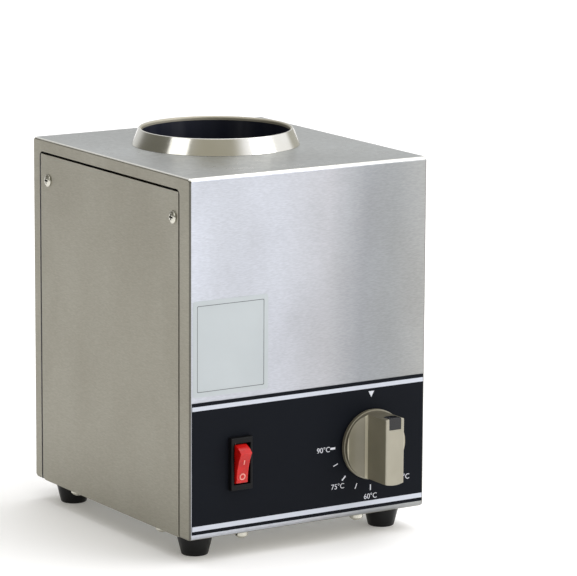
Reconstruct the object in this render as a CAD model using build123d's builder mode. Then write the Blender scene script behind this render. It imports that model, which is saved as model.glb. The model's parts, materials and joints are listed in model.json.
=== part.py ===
from build123d import *
from math import cos, radians, sin, sqrt
import os

# Topping warmer: a stainless box on rubber feet with a round, dark lined well in its top for one
# squeeze bottle, warmed by a band heater that a thermostat and a rocker switch control.
# Millimetres. +X is to the right seen from the front, +Y to the back, +Z up. The origin is on the
# table under the middle of the whole warmer, knob and cable gland included.

# ---------------------------------------------------------------- driving dimensions

# Stainless box
body_width = 142.0
body_depth = 162.0
body_height = 185.0
sheet = 1.0  # thickness of the stainless sheet
bend_inner_radius = 1.3  # inside the bends between front, top, rear and foot flanges
return_inner_radius = 0.2  # inside the bends round the side openings
side_seam = 1.2  # dark gap round each side panel
front_return = 10.0  # width of the returns that frame the side openings
rear_return = 7.2
top_return = 6.8
opening_corner_radius = 3.0  # upper corners of a side opening
panel_corner_radius = 3.0  # lower rear corner of a side panel
panel_foot_width = 12.0  # flange at the foot of a side panel
casing_foot_depth = 28.0  # flanges at the foot of the front and the rear
base_thickness = 1.2
base_gap = 0.5  # from the base plate to the walls and bends round it

# Vents in the base plate
vent_length = 24.0
vent_width = 4.0
vent_pitch_x = 32.0
vent_pitch_y = 9.0
vent_columns = 2
vent_rows = 5

# Rubber feet
foot_height = 12.0
foot_top_radius = 9.8
foot_floor_radius = 6.8
foot_edge_radius = 0.8
foot_recess_depth = 5.0
foot_inset_x = 14.0
foot_from_front = 18.5
foot_from_rear = 17.0

# Screws and nuts: M3 and M4
m3_radius = 1.5
m3_head_radius = 2.8
m3_head_height = 1.8
m3_nut_flats = 5.5
m3_nut_height = 2.4
m4_radius = 2.0
m4_head_radius = 3.5
m4_head_height = 2.4
m4_nut_flats = 7.0
m4_nut_height = 3.2
screw_gap = 0.1  # round a shank in its hole
recess_width = 0.9  # cross recess of a pan head
recess_depth = 1.0
dome_drop = 0.9  # how far a pan head falls from its middle to its edge

# Side panel screws, and the tabs behind them
panel_head_radius = 3.3
panel_head_height = 1.5
panel_screw_from_front = 5.1  # from the panel's front edge
panel_screw_from_rear = 8.0
panel_screw_drop = 13.4
panel_screw_length = 8.0
tab_thickness = 1.5
tab_half_height = 8.0
tab_reach = 6.5  # from the screw to the free end of a tab

# Base screws
base_screw_length = 6.0
front_screw_inset_x = 36.0
front_screw_inset_y = 9.0
side_screw_inset_x = 7.5
side_screw_from_front = 40.0
side_screw_from_rear = 33.0

# Well, collar and what hangs the pot
well_radius = 39.0  # bore that takes the bottle
well_setback = 11.4  # of its axis behind the middle of the box
well_depth = 150.0  # from the collar's top to the pot's floor
pot_wall = 1.2
pot_corner_radius = 7.0
collar_height = 8.5
collar_base_radius = 44.2
collar_top_radius = 40.7
collar_lip = 2.0  # bright lip over the pot's rim
collar_skirt_wall = 2.1
collar_edge_radius = 0.4
pot_gap = 0.1  # from the pot to the collar round it
hanger_thickness = 2.0
hanger_radius = 52.5
hanger_stud_radius = 48.0  # from the well's axis to each stud
hanger_stud_length = 7.0
hanger_stud_count = 4

# Band heater
heater_thickness = 2.4
heater_height = 60.0
heater_rise = 14.0  # above the pot's floor
heater_split = 8.0
heater_ear_thickness = 1.5
heater_ear_reach = 12.0
clamp_screw_spacing = 30.0
clamp_screw_length = 15.0
clamp_screw_reach = 6.0  # from the band to the clamp screws' axes
terminal_angle = 13.0  # each side of the front
terminal_radius = 2.0
terminal_length = 9.0
terminal_pad_radius = 3.2
terminal_pad_length = 2.0

# Insulation jacket and its straps
jacket_thickness = 8.0
jacket_lower_gap = 6.0  # above the pot's floor
jacket_upper_gap = 10.0  # under the top sheet
jacket_opening_angle = 20.0  # each side of the front
strap_thickness = 0.6
strap_width = 8.0
strap_inset = 5.0

# Thermal cut-out under the pot
cutout_cap_radius = 8.0
cutout_cap_height = 4.0
cutout_flange_thickness = 0.8
cutout_flange_width = 10.0
cutout_stud_spacing = 24.0
cutout_stud_length = 9.0
cutout_body_radius = 7.5
cutout_body_height = 8.0
blade_width = 6.3
blade_thickness = 0.8
blade_length = 8.0
cutout_blade_spacing = 8.0

# Control overlay
overlay_thickness = 0.4
overlay_height = 67.8
overlay_rise = 3.2  # above the foot of the box
overlay_margin = 1.2

# Knob
knob_inset = 33.4  # axis from the right side of the box
knob_rise = 37.9  # axis above the foot of the box
knob_gap = 1.0  # to the overlay
knob_skirt_radius = 18.4
knob_skirt_height = 2.0
knob_radius = 17.8
knob_ledge = 5.8  # heights above the overlay
knob_scoop = 4.2
knob_rim = 5.5
knob_top = 22.4
knob_edge_radius = 0.7
grip_width = 11.2
ledge_width = 1.8
scoop_middle = 12.2  # how far out the scoop is deepest
knob_wall = 1.2
knob_floor = 1.6
hub_radius = 6.0
hub_depth = 15.0
pocket_width = 7.0
pocket_length = 8.0
pocket_roof = 3.5
pointer_width = 7.3
pointer_length = 6.3
pointer_thickness = 1.5
pointer_drop = 6.0
clip_width = 3.6
clip_thickness = 0.5
clip_length = 9.0

# Thermostat
spindle_radius = 3.0
spindle_flat = 1.5  # from the axis to the flat
spindle_length = 13.0  # in front of the overlay
spindle_inner_length = 10.0  # behind the sheet
running_gap = 0.05
bush_radius = 5.0
bush_length = 0.5  # in front of the overlay
bush_gap = 0.2
thermostat_size = 34.0
thermostat_depth = 22.0
thermostat_corner_radius = 4.0
thermostat_screw_spacing = 26.0
thermostat_screw_length = 8.0
thermostat_head_height = 2.2
head_gap = 0.1  # round a screw head in the overlay

# Sensor bulb and its capillary tube
bulb_radius = 2.5
bulb_top_gap = 4.5  # from the bulb to the top of the jacket
bulb_angle = 12.0
bulb_rise = 10.0  # above the heater
bulb_gap = 0.25  # left to the pot by the leaf of its clips
clip_wall = 0.7
clip_height = 6.0
capillary_radius = 0.8
capillary_step = 13.0  # from one turn of the tube to the next
capillary_bend = 5.0
capillary_end = 7.0  # straight length into the bulb

# Rocker switch
switch_inset = 28.8  # middle from the left side of the box
switch_rise = 37.7
bezel_width = 12.6
bezel_height = 27.2
bezel_thickness = 3.2
bezel_edge_radius = 0.6
housing_width = 11.6
housing_height = 24.6
housing_depth = 20.0
cutout_gap = 0.2  # from the housing to the edges of its hole
rocker_width = 7.8
rocker_side_gap = 1.0
rocker_end_gap = 0.5
rocker_radius = 10.2  # of its ends, round the pivot
rocker_crown = 6.0  # from the pivot to the line of its two ridges
rocker_scoop = 1.0  # how deep its face dips between the ridges
rocker_ridge_radius = 0.4
rocker_keel = 1.2  # from the pivot to its back
rocker_hub_radius = 2.6
rocker_half_angle = 15.0  # each side of level
pivot_depth = 2.4  # behind the bezel's face
pin_radius = 1.2
pin_end_gap = 0.2  # from a pin's end to the side of the housing
lamp_radius = 1.6
lamp_length = 7.0
lamp_offset = 6.5
switch_blade_width = 4.8
switch_blade_pitch = 8.0
switch_blade_count = 3

# Cable gland at the rear
gland_inset = 31.0  # axis from the left side of the box
gland_rise = 21.0
gland_bore_radius = 4.0
gland_stem_radius = 8.0
gland_stem_length = 10.0
gland_hex_flats = 22.0
gland_hex_length = 5.0
gland_nut_length = 11.0
gland_nut_radius = 10.0
gland_flats_length = 6.0  # hexagon at the foot of the domed nut
seal_radius = 6.0  # rubber ring that grips the cord
seal_length = 7.0
gland_mouth_radius = 6.5
gland_locknut_length = 4.0

# Terminal block and earth stud on the base plate
block_length = 34.0
block_depth = 17.0
block_height = 14.0
block_inset = 51.0  # middle from the left side of the box
block_from_rear = 40.0
block_pole_pitch = 8.0
block_pole_count = 3
block_channel_radius = 2.0
block_hole_inset = 4.0
block_screw_length = 18.0
pole_screw_radius = 2.0
pole_screw_depth = 2.5
earth_inset = 41.0  # axis from the right side of the box
earth_from_rear = 34.0
earth_radius = 2.5
earth_length = 14.0
earth_nut_flats = 8.0
earth_nut_height = 4.0

# ---------------------------------------------------------------- places worked out from them

knob_reach = overlay_thickness + knob_top
gland_reach = gland_hex_length + gland_nut_length
body_y = (knob_reach - gland_reach) / 2

bend_radius = sheet + bend_inner_radius
return_radius = sheet + return_inner_radius
half_width = body_width / 2
front_y = body_y - body_depth / 2
rear_y = body_y + body_depth / 2
body_bottom = foot_height
body_top = body_bottom + body_height
inner_top = body_top - sheet
inner_half_width = half_width - sheet
overlay_y = front_y - overlay_thickness
base_bottom = body_bottom + sheet
base_top = base_bottom + base_thickness

well_y = body_y + well_setback
well_axis = Axis((0, well_y, 0), (0, 0, 1))
collar_top = body_top + collar_height
lip_bottom = collar_top - collar_lip
pot_floor = collar_top - well_depth
pot_underside = pot_floor - pot_wall
pot_radius = well_radius + pot_wall
collar_bore_radius = pot_radius + pot_gap
collar_skirt_radius = collar_bore_radius + collar_skirt_wall
hanger_bottom = inner_top - hanger_thickness

heater_bottom = pot_floor + heater_rise
heater_top = heater_bottom + heater_height
heater_middle = (heater_bottom + heater_top) / 2
heater_radius = pot_radius + heater_thickness
jacket_radius = heater_radius + jacket_thickness
jacket_bottom = pot_floor + jacket_lower_gap
jacket_top = inner_top - jacket_upper_gap

panel_front_y = front_y + front_return + side_seam
panel_rear_y = rear_y - rear_return - side_seam
panel_top = body_top - top_return - side_seam
panel_screw_z = panel_top - panel_screw_drop

knob_x = half_width - knob_inset
knob_z = body_bottom + knob_rise
switch_x = -half_width + switch_inset
switch_z = body_bottom + switch_rise
gland_x = -half_width + gland_inset
gland_z = body_bottom + gland_rise
block_x = -half_width + block_inset
block_y = rear_y - block_from_rear
earth_x = half_width - earth_inset
earth_y = rear_y - earth_from_rear


def level(height):
    """Plane that faces up at this height."""
    return Plane.XY.offset(height)


def upright(depth):
    """Plane that faces the front at this y, with X to the right and Z up."""
    return Plane.XZ.offset(-depth)


def pan_screw(radius, head_radius, head_height, length, crossed=True):
    """Pan head screw that seats at its origin, its head up and its shank down."""
    edge_height = head_height - dome_drop
    dome_radius = (head_radius**2 + dome_drop**2) / (2 * dome_drop)
    with BuildPart() as screw:
        with BuildSketch(Plane.XZ):
            with BuildLine():
                Polyline((radius, 0), (head_radius, 0), (head_radius, edge_height))
                RadiusArc((head_radius, edge_height), (0, head_height), -dome_radius)
                Polyline((0, head_height), (0, -length), (radius, -length), (radius, 0))
            make_face()
        revolve(axis=Axis.Z)
        if crossed:
            with BuildSketch(level(head_height)):
                Rectangle(head_radius, recess_width)
                Rectangle(recess_width, head_radius)
            extrude(amount=-recess_depth, mode=Mode.SUBTRACT)
    return screw.part


def hex_nut(radius, flats, height):
    """Hexagon nut that stands on its origin."""
    with BuildPart() as nut:
        with BuildSketch():
            RegularPolygon(flats / 2, 6, major_radius=False)
            Circle(radius + screw_gap, mode=Mode.SUBTRACT)
        extrude(amount=height)
    return nut.part


os.makedirs("parts", exist_ok=True)

# ---------------------------------------------------------------- casing

base_screw_places = [
    (side * (half_width - front_screw_inset_x), edge_y + inward * front_screw_inset_y)
    for side in (-1, 1)
    for edge_y, inward in ((front_y, 1), (rear_y, -1))
] + [
    (side * (half_width - side_screw_inset_x), place_y)
    for side in (-1, 1)
    for place_y in (front_y + side_screw_from_front, rear_y - side_screw_from_rear)
]
foot_places = {
    "front_left": (-half_width + foot_inset_x, front_y + foot_from_front),
    "front_right": (half_width - foot_inset_x, front_y + foot_from_front),
    "rear_left": (-half_width + foot_inset_x, rear_y - foot_from_rear),
    "rear_right": (half_width - foot_inset_x, rear_y - foot_from_rear),
}
thermostat_screw_places = [
    (knob_x + side * thermostat_screw_spacing / 2, knob_z) for side in (-1, 1)
]


def bent_box(inset):
    """The casing's closed form with its bends, its faces drawn in by this much."""
    with BuildPart() as box:
        with BuildSketch(level(body_bottom + inset)):
            with Locations((0, body_y)):
                Rectangle(body_width - 2 * inset, body_depth - 2 * inset)
        extrude(amount=body_height - 2 * inset)
        fillet(box.edges().filter_by(Axis.X), bend_radius - inset)
        for side_face in (box.faces().sort_by(Axis.X)[0], box.faces().sort_by(Axis.X)[-1]):
            fillet(side_face.edges(), return_radius - inset)
    return box.part


with BuildPart() as casing:
    add(bent_box(0))
    add(bent_box(sheet), mode=Mode.SUBTRACT)
    # open sides and foot, framed by the returns of the front, top and rear
    with BuildSketch(Plane.YZ) as opening_outline:
        opening_front = front_y + front_return
        opening_rear = rear_y - rear_return
        with Locations((opening_front, body_bottom)):
            Rectangle(
                opening_rear - opening_front, body_height - top_return, align=(Align.MIN, Align.MIN)
            )
        fillet(opening_outline.vertices().group_by(Axis.Y)[-1], opening_corner_radius)
    extrude(amount=half_width, both=True, mode=Mode.SUBTRACT)
    # flanges at the foot of the front and the rear
    with BuildSketch(level(body_bottom)):
        for edge_y, inward in ((front_y, 1), (rear_y, -1)):
            with Locations((0, edge_y + inward * (bend_radius + casing_foot_depth) / 2)):
                Rectangle(body_width - 2 * return_radius, casing_foot_depth - bend_radius)
    extrude(amount=sheet)
    # screw holes in the flanges
    with BuildSketch(level(body_bottom)):
        with Locations(*base_screw_places, *foot_places.values()):
            Circle(m4_radius + screw_gap)
    extrude(amount=sheet, mode=Mode.SUBTRACT)
    # hole for the collar
    with BuildSketch(level(inner_top)):
        with Locations((0, well_y)):
            Circle(collar_skirt_radius + pot_gap)
    extrude(amount=sheet, mode=Mode.SUBTRACT)
    # holes in the front for the thermostat and the switch
    with BuildSketch(upright(front_y)):
        with Locations((knob_x, knob_z)):
            Circle(bush_radius + bush_gap)
        with Locations(*thermostat_screw_places):
            Circle(m4_radius + screw_gap)
        with Locations((switch_x, switch_z)):
            Rectangle(housing_width + 2 * cutout_gap, housing_height + 2 * cutout_gap)
    extrude(amount=-sheet, mode=Mode.SUBTRACT)
    # hole in the rear for the cable gland
    with BuildSketch(upright(rear_y)):
        with Locations((gland_x, gland_z)):
            Circle(gland_stem_radius + screw_gap)
    extrude(amount=sheet, mode=Mode.SUBTRACT)
casing.part.label = "casing"
export_step(casing.part, "parts/casing.step")

# ---------------------------------------------------------------- side panels

with BuildPart() as left_side_panel:
    with BuildSketch(Plane.YZ.offset(-half_width)) as panel_outline:
        with Locations((panel_front_y, body_bottom)):
            Rectangle(
                panel_rear_y - panel_front_y, panel_top - body_bottom, align=(Align.MIN, Align.MIN)
            )
        lower_corners = panel_outline.vertices().group_by(Axis.Y)[0]
        fillet(lower_corners.sort_by(Axis.X)[-1], panel_corner_radius)
    extrude(amount=sheet)
    # flange at its foot, between the casing's flanges
    with BuildSketch(level(body_bottom)):
        foot_front = front_y + casing_foot_depth + side_seam
        foot_rear = rear_y - casing_foot_depth - side_seam
        with Locations((-inner_half_width, foot_front)):
            Rectangle(panel_foot_width, foot_rear - foot_front, align=(Align.MIN, Align.MIN))
    extrude(amount=sheet)
    with BuildSketch(level(body_bottom)):
        with Locations(*base_screw_places):
            Circle(m4_radius + screw_gap)
    extrude(amount=sheet, mode=Mode.SUBTRACT)
    # screw holes near its upper corners
    panel_screw_ys = (panel_front_y + panel_screw_from_front, panel_rear_y - panel_screw_from_rear)
    with BuildSketch(Plane.YZ.offset(-half_width)):
        with Locations(*[(place_y, panel_screw_z) for place_y in panel_screw_ys]):
            Circle(m4_radius + screw_gap)
    extrude(amount=sheet, mode=Mode.SUBTRACT)
left_side_panel.part.label = "left_side_panel"
export_step(left_side_panel.part, "parts/left_side_panel.step")

with BuildPart() as right_side_panel:
    mirror(left_side_panel.part, about=Plane.YZ)
right_side_panel.part.label = "right_side_panel"
export_step(right_side_panel.part, "parts/right_side_panel.step")

with BuildPart() as panel_tabs:
    # welded behind the casing's returns, reaching behind the panels' screws
    with BuildSketch(Plane.YZ.offset(-inner_half_width)):
        weld_inset = max(bend_radius, return_radius)
        tab_front_end = front_y + weld_inset
        tab_rear_end = rear_y - weld_inset
        with Locations((tab_front_end, panel_screw_z)):
            Rectangle(
                panel_screw_ys[0] + tab_reach - tab_front_end,
                2 * tab_half_height,
                align=(Align.MIN, Align.CENTER),
            )
        with Locations((tab_rear_end, panel_screw_z)):
            Rectangle(
                tab_rear_end - panel_screw_ys[1] + tab_reach,
                2 * tab_half_height,
                align=(Align.MAX, Align.CENTER),
            )
        with Locations(*[(place_y, panel_screw_z) for place_y in panel_screw_ys]):
            Circle(m4_radius + screw_gap, mode=Mode.SUBTRACT)
    extrude(amount=tab_thickness)
    mirror(about=Plane.YZ)
panel_tabs.part.label = "panel_tabs"
export_step(panel_tabs.part, "parts/panel_tabs.step")

panel_screw = pan_screw(m4_radius, panel_head_radius, panel_head_height, panel_screw_length)
with BuildPart() as side_panel_screws:
    for side in (-1, 1):
        for place_y in panel_screw_ys:
            with Locations(Location((side * half_width, place_y, panel_screw_z), (0, side * 90, 0))):
                add(panel_screw)
side_panel_screws.part.label = "side_panel_screws"
export_step(side_panel_screws.part, "parts/side_panel_screws.step")

# ---------------------------------------------------------------- base plate and feet

earth_place = (earth_x, earth_y)
block_hole_places = [
    (block_x + side * (block_length / 2 - block_hole_inset), block_y) for side in (-1, 1)
]

with BuildPart() as base_plate:
    with BuildSketch(level(base_bottom)):
        with Locations((0, body_y)):
            base_width = body_width - 2 * (sheet + base_gap)
            base_depth = body_depth - 2 * (bend_radius + base_gap)
            RectangleRounded(base_width, base_depth, bend_radius)
            with GridLocations(vent_pitch_x, vent_pitch_y, vent_columns, vent_rows):
                SlotOverall(vent_length, vent_width, mode=Mode.SUBTRACT)
        with Locations(*base_screw_places, *foot_places.values()):
            Circle(m4_radius + screw_gap, mode=Mode.SUBTRACT)
        with Locations(*block_hole_places):
            Circle(m3_radius + screw_gap, mode=Mode.SUBTRACT)
    extrude(amount=base_thickness)
base_plate.part.label = "base_plate"
export_step(base_plate.part, "parts/base_plate.step")

base_screw = pan_screw(m4_radius, m4_head_radius, m4_head_height, base_screw_length)
with BuildPart() as base_screws:
    for place_x, place_y in base_screw_places:
        with Locations(Location((place_x, place_y, body_bottom), (180, 0, 0))):
            add(base_screw)
base_screws.part.label = "base_screws"
export_step(base_screws.part, "parts/base_screws.step")

with BuildPart() as foot:
    with BuildSketch():
        Circle(foot_floor_radius)
    with BuildSketch(level(foot_height)):
        Circle(foot_top_radius)
    loft()
    fillet(foot.edges().group_by(Axis.Z)[0], foot_edge_radius)
    with Locations(Location((0, 0, 0), (180, 0, 0))):
        CounterBoreHole(m4_radius + screw_gap, m4_head_radius + screw_gap, foot_recess_depth)
for place_name, (place_x, place_y) in foot_places.items():
    with BuildPart() as placed_foot:
        with Locations((place_x, place_y, 0)):
            add(foot.part)
    placed_foot.part.label = f"foot_{place_name}"
    export_step(placed_foot.part, f"parts/foot_{place_name}.step")

foot_screw_length = base_top + m4_nut_height + m4_head_height - foot_recess_depth
foot_screw = pan_screw(m4_radius, m4_head_radius, m4_head_height, foot_screw_length)
with BuildPart() as foot_screws:
    for place_x, place_y in foot_places.values():
        with Locations(Location((place_x, place_y, foot_recess_depth), (180, 0, 0))):
            add(foot_screw)
foot_screws.part.label = "foot_screws"
export_step(foot_screws.part, "parts/foot_screws.step")

with BuildPart() as foot_nuts:
    with Locations(*[(place_x, place_y, base_top) for place_x, place_y in foot_places.values()]):
        add(hex_nut(m4_radius, m4_nut_flats, m4_nut_height))
foot_nuts.part.label = "foot_nuts"
export_step(foot_nuts.part, "parts/foot_nuts.step")

# ---------------------------------------------------------------- collar, well pot, hanger

with BuildPart() as collar:
    # turned ring with a cone outside, and a lip that covers the pot's rim
    with BuildSketch(upright(well_y)) as collar_section:
        with BuildLine():
            Polyline(
                (collar_base_radius, body_top),
                (collar_top_radius, collar_top),
                (well_radius, collar_top),
                (well_radius, lip_bottom),
                (collar_bore_radius, lip_bottom),
                (collar_bore_radius, inner_top),
                (collar_skirt_radius, inner_top),
                (collar_skirt_radius, body_top),
                close=True,
            )
        make_face()
        fillet(collar_section.vertices().group_by(Axis.Y)[-1], collar_edge_radius)
    revolve(axis=well_axis)
collar.part.label = "collar"
export_step(collar.part, "parts/collar.step")

with BuildPart() as well_pot:
    with BuildSketch(level(pot_underside)):
        with Locations((0, well_y)):
            Circle(pot_radius)
    extrude(amount=lip_bottom - pot_underside)
    fillet(well_pot.edges().group_by(Axis.Z)[0], pot_corner_radius)
    offset(amount=-pot_wall, openings=well_pot.faces().sort_by(Axis.Z)[-1])
well_pot.part.label = "well_pot"
export_step(well_pot.part, "parts/well_pot.step")

hanger_angle = 180 / hanger_stud_count
with BuildPart() as pot_hanger_ring:
    with BuildSketch(level(hanger_bottom)):
        with Locations((0, well_y)):
            Circle(hanger_radius)
            Circle(pot_radius, mode=Mode.SUBTRACT)
            with PolarLocations(hanger_stud_radius, hanger_stud_count, hanger_angle):
                Circle(m4_radius + screw_gap, mode=Mode.SUBTRACT)
    extrude(amount=hanger_thickness)
pot_hanger_ring.part.label = "pot_hanger_ring"
export_step(pot_hanger_ring.part, "parts/pot_hanger_ring.step")

with BuildPart() as hanger_studs:
    with BuildSketch(level(inner_top)):
        with Locations((0, well_y)):
            with PolarLocations(hanger_stud_radius, hanger_stud_count, hanger_angle):
                Circle(m4_radius)
    extrude(amount=-hanger_stud_length)
hanger_studs.part.label = "hanger_studs"
export_step(hanger_studs.part, "parts/hanger_studs.step")

with BuildPart() as hanger_nuts:
    with Locations((0, well_y, hanger_bottom - m4_nut_height)):
        with PolarLocations(hanger_stud_radius, hanger_stud_count, hanger_angle):
            add(hex_nut(m4_radius, m4_nut_flats, m4_nut_height))
hanger_nuts.part.label = "hanger_nuts"
export_step(hanger_nuts.part, "parts/hanger_nuts.step")

# ---------------------------------------------------------------- band heater

clamp_screw_zs = [heater_middle + side * clamp_screw_spacing / 2 for side in (-1, 1)]
clamp_screw_y = well_y - heater_radius - clamp_screw_reach
ear_outer_x = heater_split / 2 + heater_ear_thickness

with BuildPart() as heater_band:
    with BuildSketch(level(heater_bottom)):
        with Locations((0, well_y)):
            Circle(heater_radius)
            Circle(pot_radius, mode=Mode.SUBTRACT)
            Rectangle(
                heater_split, heater_radius, align=(Align.CENTER, Align.MAX), mode=Mode.SUBTRACT
            )
        # two ears turned out at the split
        for side in (-1, 1):
            ear_middle_x = side * (heater_split + heater_ear_thickness) / 2
            ear_back_y = well_y - heater_radius + heater_thickness / 2
            with Locations((ear_middle_x, ear_back_y)):
                Rectangle(
                    heater_ear_thickness,
                    heater_ear_reach + heater_thickness / 2,
                    align=(Align.CENTER, Align.MAX),
                )
    extrude(amount=heater_height)
    with BuildSketch(Plane.YZ):
        with Locations(*[(clamp_screw_y, place_z) for place_z in clamp_screw_zs]):
            Circle(m4_radius + screw_gap)
    extrude(amount=ear_outer_x, both=True, mode=Mode.SUBTRACT)
heater_band.part.label = "heater_band"
export_step(heater_band.part, "parts/heater_band.step")

clamp_screw = pan_screw(m4_radius, m4_head_radius, m4_head_height, clamp_screw_length)
with BuildPart() as heater_clamp_screws:
    for place_z in clamp_screw_zs:
        with Locations(Location((ear_outer_x, clamp_screw_y, place_z), (0, 90, 0))):
            add(clamp_screw)
heater_clamp_screws.part.label = "heater_clamp_screws"
export_step(heater_clamp_screws.part, "parts/heater_clamp_screws.step")

with BuildPart() as heater_clamp_nuts:
    for place_z in clamp_screw_zs:
        with Locations(Location((-ear_outer_x, clamp_screw_y, place_z), (0, -90, 0))):
            add(hex_nut(m4_radius, m4_nut_flats, m4_nut_height))
heater_clamp_nuts.part.label = "heater_clamp_nuts"
export_step(heater_clamp_nuts.part, "parts/heater_clamp_nuts.step")


def outward_from_well(angle, radius, height):
    """Plane on the well's flank that faces out, its angle counted from the front."""
    outward = Vector(sin(radians(angle)), -cos(radians(angle)), 0)
    return Plane(Vector(0, well_y, height) + outward * radius, x_dir=(0, 0, 1), z_dir=outward)


with BuildPart() as heater_terminals:
    for side in (-1, 1):
        pad_plane = outward_from_well(side * terminal_angle, heater_radius, heater_middle)
        with BuildSketch(pad_plane.offset(-heater_thickness / 2)):
            Circle(terminal_pad_radius)
        extrude(amount=heater_thickness / 2 + terminal_pad_length)
        with BuildSketch(pad_plane):
            Circle(terminal_radius)
        extrude(amount=terminal_length)
    add(heater_band.part, mode=Mode.SUBTRACT)
heater_terminals.part.label = "heater_terminals"
export_step(heater_terminals.part, "parts/heater_terminals.step")

# ---------------------------------------------------------------- insulation jacket and straps

opening_x = jacket_radius * sin(radians(jacket_opening_angle))
opening_y = jacket_radius * cos(radians(jacket_opening_angle))
opening_reach = 2.0  # carries the opening's two sides past the jacket

with BuildPart() as insulation_jacket:
    with BuildSketch(level(jacket_bottom)):
        with Locations((0, well_y)):
            Circle(jacket_radius)
            Circle(heater_radius, mode=Mode.SUBTRACT)
            Polygon(
                (0, 0),
                (-opening_x * opening_reach, -opening_y * opening_reach),
                (opening_x * opening_reach, -opening_y * opening_reach),
                align=None,
                mode=Mode.SUBTRACT,
            )
    extrude(amount=jacket_top - jacket_bottom)
insulation_jacket.part.label = "insulation_jacket"
export_step(insulation_jacket.part, "parts/insulation_jacket.step")

strap_bottoms = (jacket_bottom, heater_top + strap_inset, jacket_top - strap_inset - strap_width)
with BuildPart() as jacket_straps:
    # each strap runs round the jacket and straight across its opening
    for strap_bottom in strap_bottoms:
        with BuildSketch(level(strap_bottom)) as strap_section:
            with Locations((0, well_y)):
                Circle(jacket_radius + strap_thickness)
                Circle(jacket_radius, mode=Mode.SUBTRACT)
                Rectangle(
                    2 * opening_x, 2 * jacket_radius, align=(Align.CENTER, Align.MAX), mode=Mode.SUBTRACT
                )
            with Locations((0, well_y - opening_y)):
                Rectangle(2 * opening_x, strap_thickness, align=(Align.CENTER, Align.MAX))
        extrude(amount=strap_width)
jacket_straps.part.label = "jacket_straps"
export_step(jacket_straps.part, "parts/jacket_straps.step")

# ---------------------------------------------------------------- thermal cut-out under the pot

cutout_flange_top = pot_underside - cutout_cap_height
cutout_flange_bottom = cutout_flange_top - cutout_flange_thickness
cutout_stud_places = [(side * cutout_stud_spacing / 2, well_y) for side in (-1, 1)]

with BuildPart() as thermal_cutout:
    with BuildSketch(level(pot_underside)):
        with Locations((0, well_y)):
            Circle(cutout_cap_radius)
    extrude(amount=-cutout_cap_height)
    with BuildSketch(level(cutout_flange_top)):
        with Locations((0, well_y)):
            SlotOverall(cutout_stud_spacing + cutout_flange_width, cutout_flange_width)
            Circle(cutout_cap_radius)
        with Locations(*cutout_stud_places):
            Circle(m3_radius + screw_gap, mode=Mode.SUBTRACT)
    extrude(amount=-cutout_flange_thickness)
    with BuildSketch(level(cutout_flange_bottom)):
        with Locations((0, well_y)):
            Circle(cutout_body_radius)
    extrude(amount=-cutout_body_height)
    with BuildSketch(level(cutout_flange_bottom - cutout_body_height)):
        with Locations((0, well_y)):
            with GridLocations(cutout_blade_spacing, 0, 2, 1):
                Rectangle(blade_thickness, blade_width)
    extrude(amount=-blade_length)
thermal_cutout.part.label = "thermal_cutout"
export_step(thermal_cutout.part, "parts/thermal_cutout.step")

with BuildPart() as cutout_studs:
    with BuildSketch(level(pot_underside)):
        with Locations(*cutout_stud_places):
            Circle(m3_radius)
    extrude(amount=-cutout_stud_length)
cutout_studs.part.label = "cutout_studs"
export_step(cutout_studs.part, "parts/cutout_studs.step")

with BuildPart() as cutout_nuts:
    with Locations(*[(*place, cutout_flange_bottom - m3_nut_height) for place in cutout_stud_places]):
        add(hex_nut(m3_radius, m3_nut_flats, m3_nut_height))
cutout_nuts.part.label = "cutout_nuts"
export_step(cutout_nuts.part, "parts/cutout_nuts.step")

# ---------------------------------------------------------------- control overlay

with BuildPart() as control_overlay:
    with BuildSketch(upright(front_y)):
        with Locations((0, body_bottom + overlay_rise)):
            Rectangle(
                body_width - 2 * overlay_margin,
                overlay_height,
                align=(Align.CENTER, Align.MIN),
            )
        with Locations((knob_x, knob_z)):
            Circle(bush_radius + bush_gap, mode=Mode.SUBTRACT)
        with Locations(*thermostat_screw_places):
            Circle(m4_head_radius + head_gap, mode=Mode.SUBTRACT)
        with Locations((switch_x, switch_z)):
            Rectangle(
                housing_width + 2 * cutout_gap, housing_height + 2 * cutout_gap, mode=Mode.SUBTRACT
            )
    extrude(amount=overlay_thickness)
control_overlay.part.label = "control_overlay"
export_step(control_overlay.part, "parts/control_overlay.step")

# ---------------------------------------------------------------- knob

# Its plane lies on the overlay and faces the front: X to the right, Y up, Z towards the hand.
knob_plane = Plane((knob_x, overlay_y, knob_z), x_dir=(1, 0, 0), z_dir=(0, -1, 0))
knob_section = Plane((knob_x, overlay_y, knob_z), x_dir=(1, 0, 0), z_dir=(0, 0, -1))
skirt_top = knob_gap + knob_skirt_height
ledge_edge = grip_width / 2 + ledge_width
pointer_inner_end = knob_radius - pointer_length
hollow_roof = knob_scoop - knob_floor

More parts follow.
